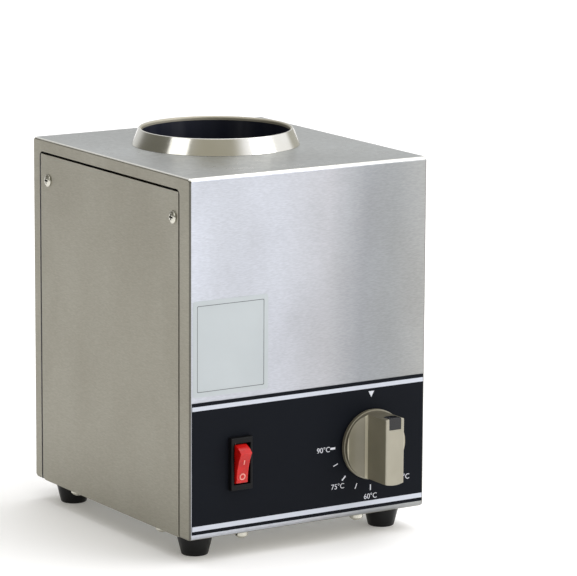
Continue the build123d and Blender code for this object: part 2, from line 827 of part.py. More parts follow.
with BuildPart() as knob:
    # round skirt and body
    with BuildSketch(knob_plane.offset(knob_gap)):
        Circle(knob_skirt_radius)
    extrude(amount=knob_skirt_height)
    with BuildSketch(knob_plane.offset(skirt_top)):
        Circle(knob_radius)
    extrude(amount=knob_ledge - skirt_top)
    # a scooped floor each side of the grip, with a flat ledge along the grip's foot
    with BuildSketch(knob_section):
        for side in (-1, 1):
            with BuildLine():
                ThreePointArc(
                    (side * ledge_edge, knob_ledge),
                    (side * scoop_middle, knob_scoop),
                    (side * knob_skirt_radius, knob_rim),
                )
                Polyline(
                    (side * knob_skirt_radius, knob_rim),
                    (side * knob_skirt_radius, knob_top),
                    (side * ledge_edge, knob_top),
                    (side * ledge_edge, knob_ledge),
                )
            make_face()
    extrude(amount=knob_skirt_radius, both=True, mode=Mode.SUBTRACT)
    # grip bar, its ends round like the body
    with BuildSketch(knob_plane.offset(hollow_roof)):
        Circle(knob_radius)
        Rectangle(grip_width, 2 * knob_radius, mode=Mode.INTERSECT)
    extrude(amount=knob_top - hollow_roof)
    fillet(knob.faces().sort_by(Axis.Y)[0].edges(), knob_edge_radius)
    # seat of the pointer: over the upper end of the grip and down its end face
    for seat_bottom, seat_inner_end in (
        (knob_top - pointer_thickness, pointer_inner_end),
        (knob_top - pointer_drop, knob_radius - pointer_thickness),
    ):
        with BuildSketch(knob_plane.offset(seat_bottom)):
            with Locations((0, seat_inner_end)):
                Rectangle(pointer_width, pointer_length, align=(Align.CENTER, Align.MIN))
        extrude(amount=knob_top - seat_bottom, mode=Mode.SUBTRACT)
    # hollow underside round the hub, and a pocket in each half of the grip
    with BuildSketch(knob_plane.offset(knob_gap)):
        Circle(knob_skirt_radius - knob_wall)
        Circle(hub_radius, mode=Mode.SUBTRACT)
    extrude(amount=hollow_roof - knob_gap, mode=Mode.SUBTRACT)
    with BuildSketch(knob_plane.offset(hollow_roof)):
        with GridLocations(0, 2 * hub_radius + pocket_length, 1, 2):
            Rectangle(pocket_width, pocket_length)
    extrude(amount=knob_top - pocket_roof - hollow_roof, mode=Mode.SUBTRACT)
    # bore for the spindle, with its flat, and a slot beside the flat for the spring clip
    with BuildSketch(knob_plane.offset(knob_gap)) as hub_bore:
        Circle(spindle_radius)
        with Locations((0, spindle_flat)):
            Rectangle(
                2 * spindle_radius, spindle_radius, align=(Align.CENTER, Align.MIN), mode=Mode.SUBTRACT
            )
            Rectangle(clip_width, clip_thickness, align=(Align.CENTER, Align.MIN))
    extrude(amount=hub_depth, mode=Mode.SUBTRACT)
knob.part.label = "knob"
export_step(knob.part, "parts/knob.step")

with BuildPart() as knob_pointer:
    for seat_bottom, seat_inner_end in (
        (knob_top - pointer_thickness, pointer_inner_end),
        (knob_top - pointer_drop, knob_radius - pointer_thickness),
    ):
        with BuildSketch(knob_plane.offset(seat_bottom)):
            with Locations((0, seat_inner_end)):
                Rectangle(pointer_width, pointer_length, align=(Align.CENTER, Align.MIN))
            Circle(knob_radius, mode=Mode.INTERSECT)
        extrude(amount=knob_top - seat_bottom)
knob_pointer.part.label = "knob_pointer"
export_step(knob_pointer.part, "parts/knob_pointer.step")

with BuildPart() as knob_spring_clip:
    with BuildSketch(knob_plane.offset(knob_gap)):
        with Locations((0, spindle_flat)):
            Rectangle(clip_width, clip_thickness, align=(Align.CENTER, Align.MIN))
    extrude(amount=clip_length)
knob_spring_clip.part.label = "knob_spring_clip"
export_step(knob_spring_clip.part, "parts/knob_spring_clip.step")

# ---------------------------------------------------------------- thermostat

with BuildPart() as thermostat_spindle:
    with BuildSketch(upright(front_y + sheet + spindle_inner_length)):
        with Locations((knob_x, knob_z)):
            Circle(spindle_radius)
    extrude(amount=spindle_inner_length + sheet + overlay_thickness + spindle_length)
    # flat along the part that the knob grips
    with BuildSketch(knob_plane.offset(knob_gap)):
        with Locations((0, spindle_flat)):
            Rectangle(2 * spindle_radius, spindle_radius, align=(Align.CENTER, Align.MIN))
    extrude(amount=spindle_length, mode=Mode.SUBTRACT)
thermostat_spindle.part.label = "thermostat_spindle"
export_step(thermostat_spindle.part, "parts/thermostat_spindle.step")

with BuildPart() as thermostat_body:
    with BuildSketch(upright(front_y + sheet)):
        with Locations((knob_x, knob_z)):
            RectangleRounded(thermostat_size, thermostat_size, thermostat_corner_radius)
    extrude(amount=-thermostat_depth)
    with BuildSketch(upright(front_y + sheet)):
        with Locations((knob_x, knob_z)):
            Circle(bush_radius)
    extrude(amount=sheet + overlay_thickness + bush_length)
    # bore that the spindle turns in
    with BuildSketch(upright(overlay_y - bush_length)):
        with Locations((knob_x, knob_z)):
            Circle(spindle_radius + running_gap)
    bore_depth = bush_length + overlay_thickness + sheet + spindle_inner_length + bush_gap
    extrude(amount=-bore_depth, mode=Mode.SUBTRACT)
    with BuildSketch(upright(front_y + sheet)):
        with Locations(*thermostat_screw_places):
            Circle(m4_radius + screw_gap)
    extrude(amount=-thermostat_screw_length, mode=Mode.SUBTRACT)
thermostat_body.part.label = "thermostat_body"
export_step(thermostat_body.part, "parts/thermostat_body.step")

thermostat_screw = pan_screw(
    m4_radius, m4_head_radius, thermostat_head_height, thermostat_screw_length, crossed=False
)
with BuildPart() as thermostat_screws:
    for place_x, place_z in thermostat_screw_places:
        with Locations(Location((place_x, front_y, place_z), (90, 0, 0))):
            add(thermostat_screw)
thermostat_screws.part.label = "thermostat_screws"
export_step(thermostat_screws.part, "parts/thermostat_screws.step")

# ---------------------------------------------------------------- sensor bulb and capillary tube

bulb_axis_radius = pot_radius + bulb_gap + bulb_radius
bulb_x = bulb_axis_radius * sin(radians(bulb_angle))
bulb_y = well_y - bulb_axis_radius * cos(radians(bulb_angle))
bulb_bottom = heater_top + bulb_rise
bulb_length = jacket_top - bulb_top_gap - bulb_bottom

with BuildPart() as sensor_bulb:
    with BuildSketch(level(bulb_bottom)):
        with Locations((bulb_x, bulb_y)):
            Circle(bulb_radius)
    extrude(amount=bulb_length)
sensor_bulb.part.label = "sensor_bulb"
export_step(sensor_bulb.part, "parts/sensor_bulb.step")

with BuildPart() as bulb_clips:
    # two saddles welded to the pot, between the straps
    for clip_bottom in (bulb_bottom + clip_height, bulb_bottom + bulb_length - clip_height):
        with BuildSketch(level(clip_bottom)):
            with Locations((bulb_x, bulb_y)):
                Circle(bulb_radius + clip_wall)
                Circle(bulb_radius, mode=Mode.SUBTRACT)
            with Locations((0, well_y)):
                Circle(pot_radius, mode=Mode.SUBTRACT)
        extrude(amount=clip_height)
bulb_clips.part.label = "bulb_clips"
export_step(bulb_clips.part, "parts/bulb_clips.step")

# from the top of the thermostat up and back to the foot of the bulb
thermostat_top = knob_z + thermostat_size / 2
thermostat_middle_y = front_y + sheet + thermostat_depth / 2
capillary_y = bulb_y - capillary_step
capillary_points = [
    (knob_x, thermostat_middle_y, thermostat_top),
    (knob_x, thermostat_middle_y, thermostat_top + capillary_step),
    (knob_x - capillary_step, (thermostat_middle_y + capillary_y) / 2, heater_middle),
    (bulb_x, capillary_y, heater_middle + capillary_step),
    (bulb_x, capillary_y, bulb_bottom - capillary_end),
    (bulb_x, bulb_y, bulb_bottom - capillary_end),
    (bulb_x, bulb_y, bulb_bottom),
]
with BuildPart() as capillary_tube:
    with BuildLine() as capillary_route:
        FilletPolyline(*capillary_points, radius=capillary_bend)
    with BuildSketch(level(thermostat_top)):
        with Locations((knob_x, thermostat_middle_y)):
            Circle(capillary_radius)
    sweep(path=capillary_route.wires()[0])
capillary_tube.part.label = "capillary_tube"
export_step(capillary_tube.part, "parts/capillary_tube.step")

# ---------------------------------------------------------------- rocker switch

# At rest the rocker is off: its lower end is pressed in, and its upper end stands out.
bezel_face_y = overlay_y - bezel_thickness
pivot_y = bezel_face_y + pivot_depth
pocket_half_width = rocker_width / 2 + rocker_side_gap
pocket_half_height = rocker_radius + rocker_end_gap
rocker_dip = rocker_keel + rocker_radius * sin(radians(rocker_half_angle))
pocket_floor_y = pivot_y + max(rocker_hub_radius, rocker_dip) + rocker_end_gap
lamp_place_z = switch_z + lamp_offset

with BuildPart() as switch_housing:
    with BuildSketch(upright(overlay_y)):
        with Locations((switch_x, switch_z)):
            Rectangle(bezel_width, bezel_height)
    extrude(amount=bezel_thickness)
    fillet(switch_housing.faces().sort_by(Axis.Y)[0].edges(), bezel_edge_radius)
    with BuildSketch(upright(overlay_y)):
        with Locations((switch_x, switch_z)):
            Rectangle(housing_width, housing_height)
    extrude(amount=-housing_depth)
    # pocket for the rocker, with a trough in its floor for the lamp
    with BuildSketch(upright(bezel_face_y)):
        with Locations((switch_x, switch_z)):
            Rectangle(2 * pocket_half_width, 2 * pocket_half_height)
    extrude(amount=bezel_face_y - pocket_floor_y, mode=Mode.SUBTRACT)
    with BuildSketch(upright(pocket_floor_y)):
        with Locations((switch_x, lamp_place_z)):
            Rectangle(2 * lamp_radius, lamp_length)
    extrude(amount=-2 * lamp_radius, mode=Mode.SUBTRACT)
    # bearings of the rocker's pins
    with BuildSketch(Plane.YZ.offset(switch_x)):
        with Locations((pivot_y, switch_z)):
            Circle(pin_radius + running_gap)
    extrude(amount=housing_width / 2, both=True, mode=Mode.SUBTRACT)
switch_housing.part.label = "switch_housing"
export_step(switch_housing.part, "parts/switch_housing.step")

tilt = radians(rocker_half_angle)
rocker_plane = Plane((switch_x, pivot_y, switch_z), x_dir=(0, cos(tilt), sin(tilt)), z_dir=(1, 0, 0))
ridge_reach = sqrt(rocker_radius**2 - rocker_crown**2)
face_radius = (ridge_reach**2 + rocker_scoop**2) / (2 * rocker_scoop)

with BuildPart() as switch_rocker:
    # ends turned round the pivot, a hollow face between two ridges, and a hub behind
    with BuildSketch(rocker_plane) as rocker_section:
        Circle(rocker_radius)
        with Locations((rocker_scoop - rocker_crown - face_radius, 0)):
            Circle(face_radius, mode=Mode.SUBTRACT)
        with Locations((rocker_keel, 0)):
            Rectangle(
                rocker_radius, 2 * rocker_radius, align=(Align.MIN, Align.CENTER), mode=Mode.SUBTRACT
            )
        fillet(rocker_section.vertices().group_by(Axis.X)[0], rocker_ridge_radius)
        Circle(rocker_hub_radius)
    extrude(amount=rocker_width / 2, both=True)
    with BuildSketch(rocker_plane):
        Circle(pin_radius)
    extrude(amount=housing_width / 2 - pin_end_gap, both=True)
switch_rocker.part.label = "switch_rocker"
export_step(switch_rocker.part, "parts/switch_rocker.step")

with BuildPart() as switch_lamp:
    with BuildSketch(level(lamp_place_z - lamp_length / 2)):
        with Locations((switch_x, pocket_floor_y + lamp_radius)):
            Circle(lamp_radius)
    extrude(amount=lamp_length)
switch_lamp.part.label = "switch_lamp"
export_step(switch_lamp.part, "parts/switch_lamp.step")

with BuildPart() as switch_terminals:
    with BuildSketch(upright(overlay_y + housing_depth)):
        with Locations((switch_x, switch_z)):
            with GridLocations(0, switch_blade_pitch, 1, switch_blade_count):
                Rectangle(switch_blade_width, blade_thickness)
    extrude(amount=-blade_length)
switch_terminals.part.label = "switch_terminals"
export_step(switch_terminals.part, "parts/switch_terminals.step")

# ---------------------------------------------------------------- cable gland

gland_axis = Axis((gland_x, 0, gland_z), (0, 1, 0))
gland_hex_end_y = rear_y + gland_hex_length
gland_flats_end_y = gland_hex_end_y + gland_flats_length
gland_nut_end_y = gland_hex_end_y + gland_nut_length

with BuildPart() as cable_gland:
    with BuildSketch(upright(rear_y)):
        with Locations((gland_x, gland_z)):
            RegularPolygon(gland_hex_flats / 2, 6, major_radius=False)
    extrude(amount=-gland_hex_length)
    with BuildSketch(upright(rear_y)):
        with Locations((gland_x, gland_z)):
            Circle(gland_stem_radius)
    extrude(amount=gland_stem_length)
    with BuildSketch(upright(gland_hex_end_y)):
        with Locations((gland_x, gland_z)):
            Circle(gland_bore_radius)
    extrude(amount=gland_hex_length + gland_stem_length, mode=Mode.SUBTRACT)
    # seat of the seal
    with BuildSketch(upright(gland_hex_end_y)):
        with Locations((gland_x, gland_z)):
            Circle(seal_radius)
    extrude(amount=seal_length, mode=Mode.SUBTRACT)
cable_gland.part.label = "cable_gland"
export_step(cable_gland.part, "parts/cable_gland.step")

with BuildPart() as gland_seal:
    with BuildSketch(upright(gland_hex_end_y)):
        with Locations((gland_x, gland_z)):
            Circle(seal_radius)
            Circle(gland_bore_radius, mode=Mode.SUBTRACT)
    extrude(amount=seal_length)
gland_seal.part.label = "gland_seal"
export_step(gland_seal.part, "parts/gland_seal.step")

with BuildPart() as gland_nut:
    # hexagon foot, and a dome that draws in towards its mouth
    with BuildSketch(upright(gland_hex_end_y)):
        with Locations((gland_x, gland_z)):
            RegularPolygon(gland_nut_radius, 6, major_radius=False)
            Circle(gland_bore_radius, mode=Mode.SUBTRACT)
    extrude(amount=-gland_flats_length)
    with BuildSketch(level(gland_z)):
        with BuildLine():
            Polyline(
                (gland_x + gland_mouth_radius, gland_nut_end_y),
                (gland_x + gland_bore_radius, gland_nut_end_y),
                (gland_x + gland_bore_radius, gland_flats_end_y),
                (gland_x + gland_nut_radius, gland_flats_end_y),
            )
            TangentArc(
                (gland_x + gland_nut_radius, gland_flats_end_y),
                (gland_x + gland_mouth_radius, gland_nut_end_y),
                tangent=(0, 1),
            )
        make_face()
    revolve(axis=gland_axis)
gland_nut.part.label = "gland_nut"
export_step(gland_nut.part, "parts/gland_nut.step")

with BuildPart() as gland_locknut:
    with BuildSketch(upright(rear_y - sheet)):
        with Locations((gland_x, gland_z)):
            RegularPolygon(gland_hex_flats / 2, 6, major_radius=False)
            Circle(gland_stem_radius + screw_gap, mode=Mode.SUBTRACT)
    extrude(amount=gland_locknut_length)
gland_locknut.part.label = "gland_locknut"
export_step(gland_locknut.part, "parts/gland_locknut.step")

# ---------------------------------------------------------------- terminal block and earth stud

with BuildPart() as terminal_block:
    with BuildSketch(level(base_top)):
        with Locations((block_x, block_y)):
            Rectangle(block_length, block_depth)
        with Locations(*block_hole_places):
            Circle(m3_radius + screw_gap, mode=Mode.SUBTRACT)
    extrude(amount=block_height)
    # a channel for each pole's wires, and a well for its screw
    first_pole_x = block_x - (block_pole_count - 1) / 2 * block_pole_pitch
    pole_xs = [first_pole_x + i * block_pole_pitch for i in range(block_pole_count)]
    with BuildSketch(upright(block_y)):
        with Locations(*[(pole_x, base_top + block_height / 2) for pole_x in pole_xs]):
            Circle(block_channel_radius)
    extrude(amount=block_depth / 2, both=True, mode=Mode.SUBTRACT)
    with BuildSketch(level(base_top + block_height)):
        with Locations(*[(pole_x, block_y) for pole_x in pole_xs]):
            Circle(pole_screw_radius)
    extrude(amount=-pole_screw_depth, mode=Mode.SUBTRACT)
terminal_block.part.label = "terminal_block"
export_step(terminal_block.part, "parts/terminal_block.step")

with BuildPart() as terminal_pole_screws:
    with BuildSketch(level(base_top + block_height - pole_screw_depth)):
        with Locations(*[(pole_x, block_y) for pole_x in pole_xs]):
            Circle(pole_screw_radius)
    extrude(amount=pole_screw_depth / 2)
terminal_pole_screws.part.label = "terminal_pole_screws"
export_step(terminal_pole_screws.part, "parts/terminal_pole_screws.step")

block_screw = pan_screw(m3_radius, m3_head_radius, m3_head_height, block_screw_length)
with BuildPart() as terminal_block_screws:
    with Locations(*[(*place, base_top + block_height) for place in block_hole_places]):
        add(block_screw)
terminal_block_screws.part.label = "terminal_block_screws"
export_step(terminal_block_screws.part, "parts/terminal_block_screws.step")

with BuildPart() as earth_stud:
    with BuildSketch(level(base_top)):
        with Locations(earth_place):
            Circle(earth_radius)
    extrude(amount=earth_length)
earth_stud.part.label = "earth_stud"
export_step(earth_stud.part, "parts/earth_stud.step")

with BuildPart() as earth_nuts:
    for nut_bottom in (base_top, base_top + earth_nut_height):
        with Locations((*earth_place, nut_bottom)):
            add(hex_nut(earth_radius, earth_nut_flats, earth_nut_height))
earth_nuts.part.label = "earth_nuts"
export_step(earth_nuts.part, "parts/earth_nuts.step")
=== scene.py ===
import json
from math import acos, cos, pi, radians, sin, sqrt

import bpy
from mathutils import Matrix, Vector

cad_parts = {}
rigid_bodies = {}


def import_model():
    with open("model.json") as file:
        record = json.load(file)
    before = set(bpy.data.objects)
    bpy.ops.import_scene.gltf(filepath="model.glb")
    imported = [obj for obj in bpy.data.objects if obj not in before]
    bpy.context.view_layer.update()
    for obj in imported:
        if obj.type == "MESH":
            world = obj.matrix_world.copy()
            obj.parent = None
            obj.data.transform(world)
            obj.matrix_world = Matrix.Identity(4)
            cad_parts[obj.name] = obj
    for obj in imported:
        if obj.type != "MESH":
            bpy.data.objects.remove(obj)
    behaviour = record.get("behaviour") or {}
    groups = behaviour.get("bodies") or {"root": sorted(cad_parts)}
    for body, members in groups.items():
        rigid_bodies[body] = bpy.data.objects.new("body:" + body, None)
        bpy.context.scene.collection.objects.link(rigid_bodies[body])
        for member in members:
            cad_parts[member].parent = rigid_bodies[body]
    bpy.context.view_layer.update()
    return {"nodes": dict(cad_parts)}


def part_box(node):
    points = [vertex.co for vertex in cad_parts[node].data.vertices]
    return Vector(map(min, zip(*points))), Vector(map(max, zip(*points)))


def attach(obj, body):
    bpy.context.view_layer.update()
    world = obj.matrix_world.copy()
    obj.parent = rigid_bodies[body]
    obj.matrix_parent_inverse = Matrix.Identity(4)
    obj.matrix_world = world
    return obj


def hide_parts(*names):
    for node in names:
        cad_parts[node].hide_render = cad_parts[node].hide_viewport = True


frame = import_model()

# Topping warmer, dressed for the studio. Metres, in the part's own frame: +X to the right seen
# from the front, +Y to the back, +Z up.

MM = 0.001

# ---------------------------------------------------------------- places read from the frame

casing_low, casing_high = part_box("casing")
overlay_low, overlay_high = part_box("control_overlay")
knob_low, knob_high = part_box("knob")
collar_low, collar_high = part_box("collar")
pot_low, pot_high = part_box("well_pot")

front_y = casing_low[1]
overlay_y = overlay_low[1]
body_bottom, body_top = casing_low[2], casing_high[2]
left_x, right_x = casing_low[0], casing_high[0]
knob_x, knob_z = (knob_low[0] + knob_high[0]) / 2, (knob_low[2] + knob_high[2]) / 2
well_x, well_y = (collar_low[0] + collar_high[0]) / 2, (collar_low[1] + collar_high[1]) / 2


# ---------------------------------------------------------------- node helpers


def display(red, green, blue):
    """Linear colour of a display colour given from 0 to 255."""
    linear = [
        part / 12.92 if part <= 0.04045 else ((part + 0.055) / 1.055) ** 2.4
        for part in (red / 255, green / 255, blue / 255)
    ]
    return (*linear, 1.0)


def feed(tree, value, socket):
    """Links a node's output to a socket, or sets the socket where the value is a plain one."""
    if isinstance(value, bpy.types.NodeSocket):
        tree.links.new(value, socket)
    else:
        socket.default_value = value


def add_node(tree, kind, inputs=None, **settings):
    """New shader node; an input is a value or a socket to link."""
    made = tree.nodes.new(kind)
    for name, value in settings.items():
        setattr(made, name, value)
    for name, value in (inputs or {}).items():
        feed(tree, value, made.inputs[name])
    return made


def object_place(tree):
    return add_node(tree, "ShaderNodeTexCoord").outputs["Object"]


def coordinates(tree):
    """X, Y and Z of the object coordinates."""
    split = add_node(tree, "ShaderNodeSeparateXYZ", {"Vector": object_place(tree)})
    return split.outputs["X"], split.outputs["Y"], split.outputs["Z"]


def noise(tree, scale, stretch=(1, 1, 1), detail=3.0):
    """Noise on object coordinates, drawn out along the axes whose stretch is small."""
    mapped = add_node(tree, "ShaderNodeMapping", {"Vector": object_place(tree), "Scale": stretch})
    made = add_node(
        tree,
        "ShaderNodeTexNoise",
        {"Vector": mapped.outputs["Vector"], "Scale": scale, "Detail": detail},
    )
    return made.outputs["Fac"]


def spread(tree, value, from_low, from_high, to_low, to_high, smooth=False):
    """Value carried from one range to another, clamped."""
    ends = {"From Min": from_low, "From Max": from_high, "To Min": to_low, "To Max": to_high}
    made = add_node(
        tree,
        "ShaderNodeMapRange",
        {"Value": value, **ends},
        interpolation_type="SMOOTHSTEP" if smooth else "LINEAR",
    )
    return made.outputs["Result"]


def varied(tree, field, low, high):
    """Noise, which seldom leaves 0.3 to 0.7, carried to this range."""
    return spread(tree, field, 0.3, 0.7, low, high)


def blend_colours(tree, factor, first, second, how="MIX"):
    factor_input, first_input, second_input, colour_output = 0, 6, 7, 2
    made = tree.nodes.new("ShaderNodeMix")
    made.data_type = "RGBA"
    made.blend_type = how
    feed(tree, factor, made.inputs[factor_input])
    feed(tree, first, made.inputs[first_input])
    feed(tree, second, made.inputs[second_input])
    return made.outputs[colour_output]


def calculate(tree, how, first, second):
    made = tree.nodes.new("ShaderNodeMath")
    made.operation = how
    feed(tree, first, made.inputs[0])
    feed(tree, second, made.inputs[1])
    return made.outputs["Value"]


def grey(tree, value):
    """Colour of this grey value."""
    made = add_node(tree, "ShaderNodeCombineColor", {"Red": value, "Green": value, "Blue": value})
    return made.outputs["Color"]


def ramp(tree, value, *stops):
    """Colour that runs through stops of (place, colour) as the value goes from 0 to 1."""
    made = add_node(tree, "ShaderNodeValToRGB", {"Fac": value})
    elements = made.color_ramp.elements
    elements[0].position, elements[0].color = stops[0]
    elements[1].position, elements[1].color = stops[-1]
    for place, colour in stops[1:-1]:
        elements.new(place).color = colour
    return made.outputs["Color"]


def start_material(name, **sockets):
    """Material with its node tree, its shader and the shader's constant sockets set."""
    made = bpy.data.materials.new(name)
    made.use_nodes = True
    shader = made.node_tree.nodes["Principled BSDF"]
    for socket, value in sockets.items():
        shader.inputs[socket.replace("_", " ")].default_value = value
    return made, made.node_tree, shader


def dress(tree, shader, colour, roughness=None, relief=None):
    """Links a finish's colour, its roughness and its relief of (height, strength, depth)."""
    tree.links.new(colour, shader.inputs["Base Color"])
    if roughness is not None:
        tree.links.new(roughness, shader.inputs["Roughness"])
    if relief is not None:
        height, strength, depth = relief
        bump = add_node(
            tree, "ShaderNodeBump", {"Height": height, "Strength": strength, "Distance": depth}
        )
        tree.links.new(bump.outputs["Normal"], shader.inputs["Normal"])


def surface(
    name,
    colour,
    roughness,
    mottle=0.06,
    patch_scale=40.0,
    grain_scale=900.0,
    stretch=(1, 1, 1),
    relief=0.15,
    depth=0.05 * MM,
    **sockets,
):
    """Finish with broad patches in its colour and fine grain in colour, gloss and relief."""
    patch_share, grain_share, gloss_play = 0.6, 0.4, 0.15
    made, tree, shader = start_material(name, **sockets)
    patches = noise(tree, patch_scale)
    grain = noise(tree, grain_scale, stretch)
    darker = (*(part * (1 - mottle) for part in colour[:3]), 1.0)
    lighter = (*(min(1.0, part * (1 + mottle)) for part in colour[:3]), 1.0)
    tone = calculate(
        tree, "ADD", varied(tree, patches, 0, patch_share), varied(tree, grain, 0, grain_share)
    )
    gloss = varied(
        tree, grain, roughness * (1 - gloss_play), min(1.0, roughness * (1 + gloss_play))
    )
    dress(tree, shader, blend_colours(tree, tone, darker, lighter), gloss, (grain, relief, depth))
    return made


# ---------------------------------------------------------------- finishes: steel and other metal


def sheet_steel(name, colour, roughness=0.36):
    """Satin sheet with a level grain; colour is one colour, or a function that paints reflection by
    place.
    """
    made, tree, shader = start_material(name, Metallic=1.0, Anisotropic=0.55)
    tangent = add_node(tree, "ShaderNodeTangent", direction_type="RADIAL", axis="Z")
    tree.links.new(tangent.outputs["Tangent"], shader.inputs["Tangent"])
    flecks = noise(tree, 2600.0, (0.16, 0.16, 1.0), 2.0)
    strokes = noise(tree, 5200.0, (0.03, 0.03, 1.0), 2.0)
    patches = noise(tree, 26.0, (1, 1, 0.6), 4.0)
    clean = colour(tree) if callable(colour) else colour
    soil = spread(tree, patches, 0.38, 0.66, 0.0, 0.10)
    soiled = blend_colours(tree, soil, clean, display(120, 112, 96))
    fleck_tone = grey(tree, spread(tree, flecks, 0.35, 0.72, 0.86, 1.0))
    gloss = calculate(
        tree,
        "ADD",
        varied(tree, strokes, roughness - 0.05, roughness + 0.05),
        varied(tree, patches, 0.0, 0.05),
    )
    flecked = blend_colours(tree, 1.0, soiled, fleck_tone, "MULTIPLY")
    dress(tree, shader, flecked, gloss, (strokes, 0.12, 0.02 * MM))
    return made


def front_painted_reflection(tree):
    """Front sheet with a painted reflection: paler on the left, a darker band at three quarters of
    its width, paler towards the top.
    """
    x, _y, z = coordinates(tree)
    across = spread(tree, x, left_x, right_x, 0.0, 1.0)
    drift = varied(tree, noise(tree, 9.0, (1, 1, 0.5), 2.0), -0.03, 0.03)
    # Painted reflection: pale on the left, a darker band further right.
    painted_reflection_band = ramp(
        tree,
        calculate(tree, "ADD", across, drift),
        (0.0, display(204, 208, 217)),
        (0.35, display(198, 201, 209)),
        (0.58, display(188, 189, 194)),
        (0.74, display(159, 162, 166)),
        (0.86, display(159, 162, 164)),
        (1.0, display(170, 171, 170)),
    )
    # Painted sheen, lighter towards the top.
    rise = spread(tree, z, body_bottom + 110 * MM, body_top, 0.94, 1.04)
    clouds = varied(tree, noise(tree, 22.0, (1, 1, 1), 5.0), 0.95, 1.04)
    tint = grey(tree, calculate(tree, "MULTIPLY", rise, clouds))
    return blend_colours(tree, 1.0, painted_reflection_band, tint, "MULTIPLY")


def polished_steel():
    """Turned and polished: fine rings round the well, a little haze."""
    made, tree, shader = start_material("polished_steel", Metallic=1.0)
    rings = noise(tree, 1800.0, (0.02, 0.02, 1.0), 2.0)
    haze = noise(tree, 60.0, (1, 1, 1), 3.0)
    dull = spread(tree, haze, 0.35, 0.7, 0.0, 0.35)
    colour = blend_colours(tree, dull, display(226, 225, 219), display(204, 200, 184))
    gloss = calculate(tree, "ADD", varied(tree, rings, 0.1, 0.14), varied(tree, haze, 0.0, 0.05))
    dress(tree, shader, colour, gloss, (rings, 0.05, 0.02 * MM))
    return made


# Copies of one sheet steel: the sides and back painted darker as shade, the top painted lighter.
side_steel_painted_shade = sheet_steel("side_steel_painted_shade", display(153, 150, 138))
# Painted shade on the casing's upright bends.
bend_painted_shade = sheet_steel("bend_painted_shade", display(112, 111, 104), 0.42)
# Painted highlight along the casing's eased top edges.
edge_painted_highlight = surface(
    "edge_painted_highlight", display(232, 231, 224), 0.34, 0.04, 200.0, 2500.0, relief=0.05, Metallic=1.0
)
top_steel_painted_light = sheet_steel("top_steel_painted_light", display(184, 187, 187), 0.3)
# Front steel, its colour a painted reflection.
front_steel = sheet_steel("front_steel", front_painted_reflection, 0.34)
plain_steel = sheet_steel("plain_steel", display(190, 188, 178), 0.4)
collar_steel = polished_steel()
bore_steel = surface(
    "bore_steel", display(178, 173, 156), 0.45, 0.06, 200.0, 2500.0, Metallic=0.5
)
screw_steel = surface(
    "screw_steel", display(205, 203, 192), 0.26, 0.12, 300.0, 2500.0, relief=0.1, Metallic=1.0
)
recess_shadow = surface(
    "recess_shadow", display(70, 68, 62), 0.6, 0.1, 300.0, 2500.0, Metallic=1.0
)
# Panel tabs painted dark as the shade in the seam.
tab_painted_shade = surface("tab_painted_shade", display(46, 45, 42), 0.7, 0.1, 120.0, 1500.0)
zinc_sheet = surface(
    "zinc_sheet", display(176, 180, 184), 0.42, 0.14, 90.0, 1400.0, relief=0.12, Metallic=1.0
)
heater_sheet = surface(
    "heater_sheet",
    display(168, 156, 140),
    0.38,
    0.2,
    60.0,
    1200.0,
    stretch=(1, 1, 0.1),
    relief=0.12,
    Metallic=1.0,
)
cutout_case = surface(
    "cutout_case", display(186, 186, 188), 0.4, 0.06, 200.0, 2200.0, Metallic=1.0
)
copper = surface("copper", display(206, 138, 104), 0.3, 0.14, 80.0, 1600.0, Metallic=1.0)
brass = surface("brass", display(212, 184, 112), 0.28, 0.12, 120.0, 2000.0, Metallic=1.0)

# ---------------------------------------------------------------- finishes: plastics and the rest


def dark_lining():
    """Navy black coating of the well, rubbed duller near its mouth."""
    rubbed_depth = 22 * MM
    made, tree, shader = start_material("dark_lining", Coat_Weight=0.3, Coat_Roughness=0.25)
    _x, _y, z = coordinates(tree)
    scuffs = noise(tree, 120.0, (1, 1, 0.15), 4.0)
    mouth = spread(tree, z, pot_high[2] - rubbed_depth, pot_high[2], 0.0, 1.0, True)
    worn = calculate(tree, "MULTIPLY", mouth, spread(tree, scuffs, 0.5, 0.72, 0.0, 0.5))
    colour = blend_colours(tree, worn, display(20, 24, 40), display(58, 60, 70))
    dress(tree, shader, colour, varied(tree, scuffs, 0.3, 0.5), (scuffs, 0.1, 0.1 * MM))
    return made


def rubber():
    """Moulded rubber with a worn sheen and a dusty foot."""
    dusty_height = 2.5 * MM
    made, tree, shader = start_material("rubber", Specular_IOR_Level=0.25)
    _x, _y, z = coordinates(tree)
    dust = noise(tree, 220.0, (1, 1, 1), 4.0)
    low = spread(tree, z, 0.0, dusty_height, 0.7, 0.0, True)
    dusty = calculate(tree, "MULTIPLY", low, spread(tree, dust, 0.4, 0.7, 0.0, 0.6))
    colour = blend_colours(tree, dusty, display(9, 9, 10), display(44, 43, 41))
    dress(tree, shader, colour, varied(tree, dust, 0.3, 0.46), (dust, 0.12, 0.1 * MM))
    return made


def knob_plastic(name, darker, paler, coat):
    """Taupe moulding with a fine satin texture."""
    made, tree, shader = start_material(name, Coat_Weight=coat, Coat_Roughness=0.22)
    pores = noise(tree, 3200.0, (1, 1, 1), 2.0)
    clouds = noise(tree, 55.0, (1, 1, 1), 3.0)
    colour = blend_colours(tree, varied(tree, clouds, 0.0, 1.0), darker, paler)
    dress(tree, shader, colour, varied(tree, pores, 0.34, 0.46), (pores, 0.12, 0.04 * MM))
    return made


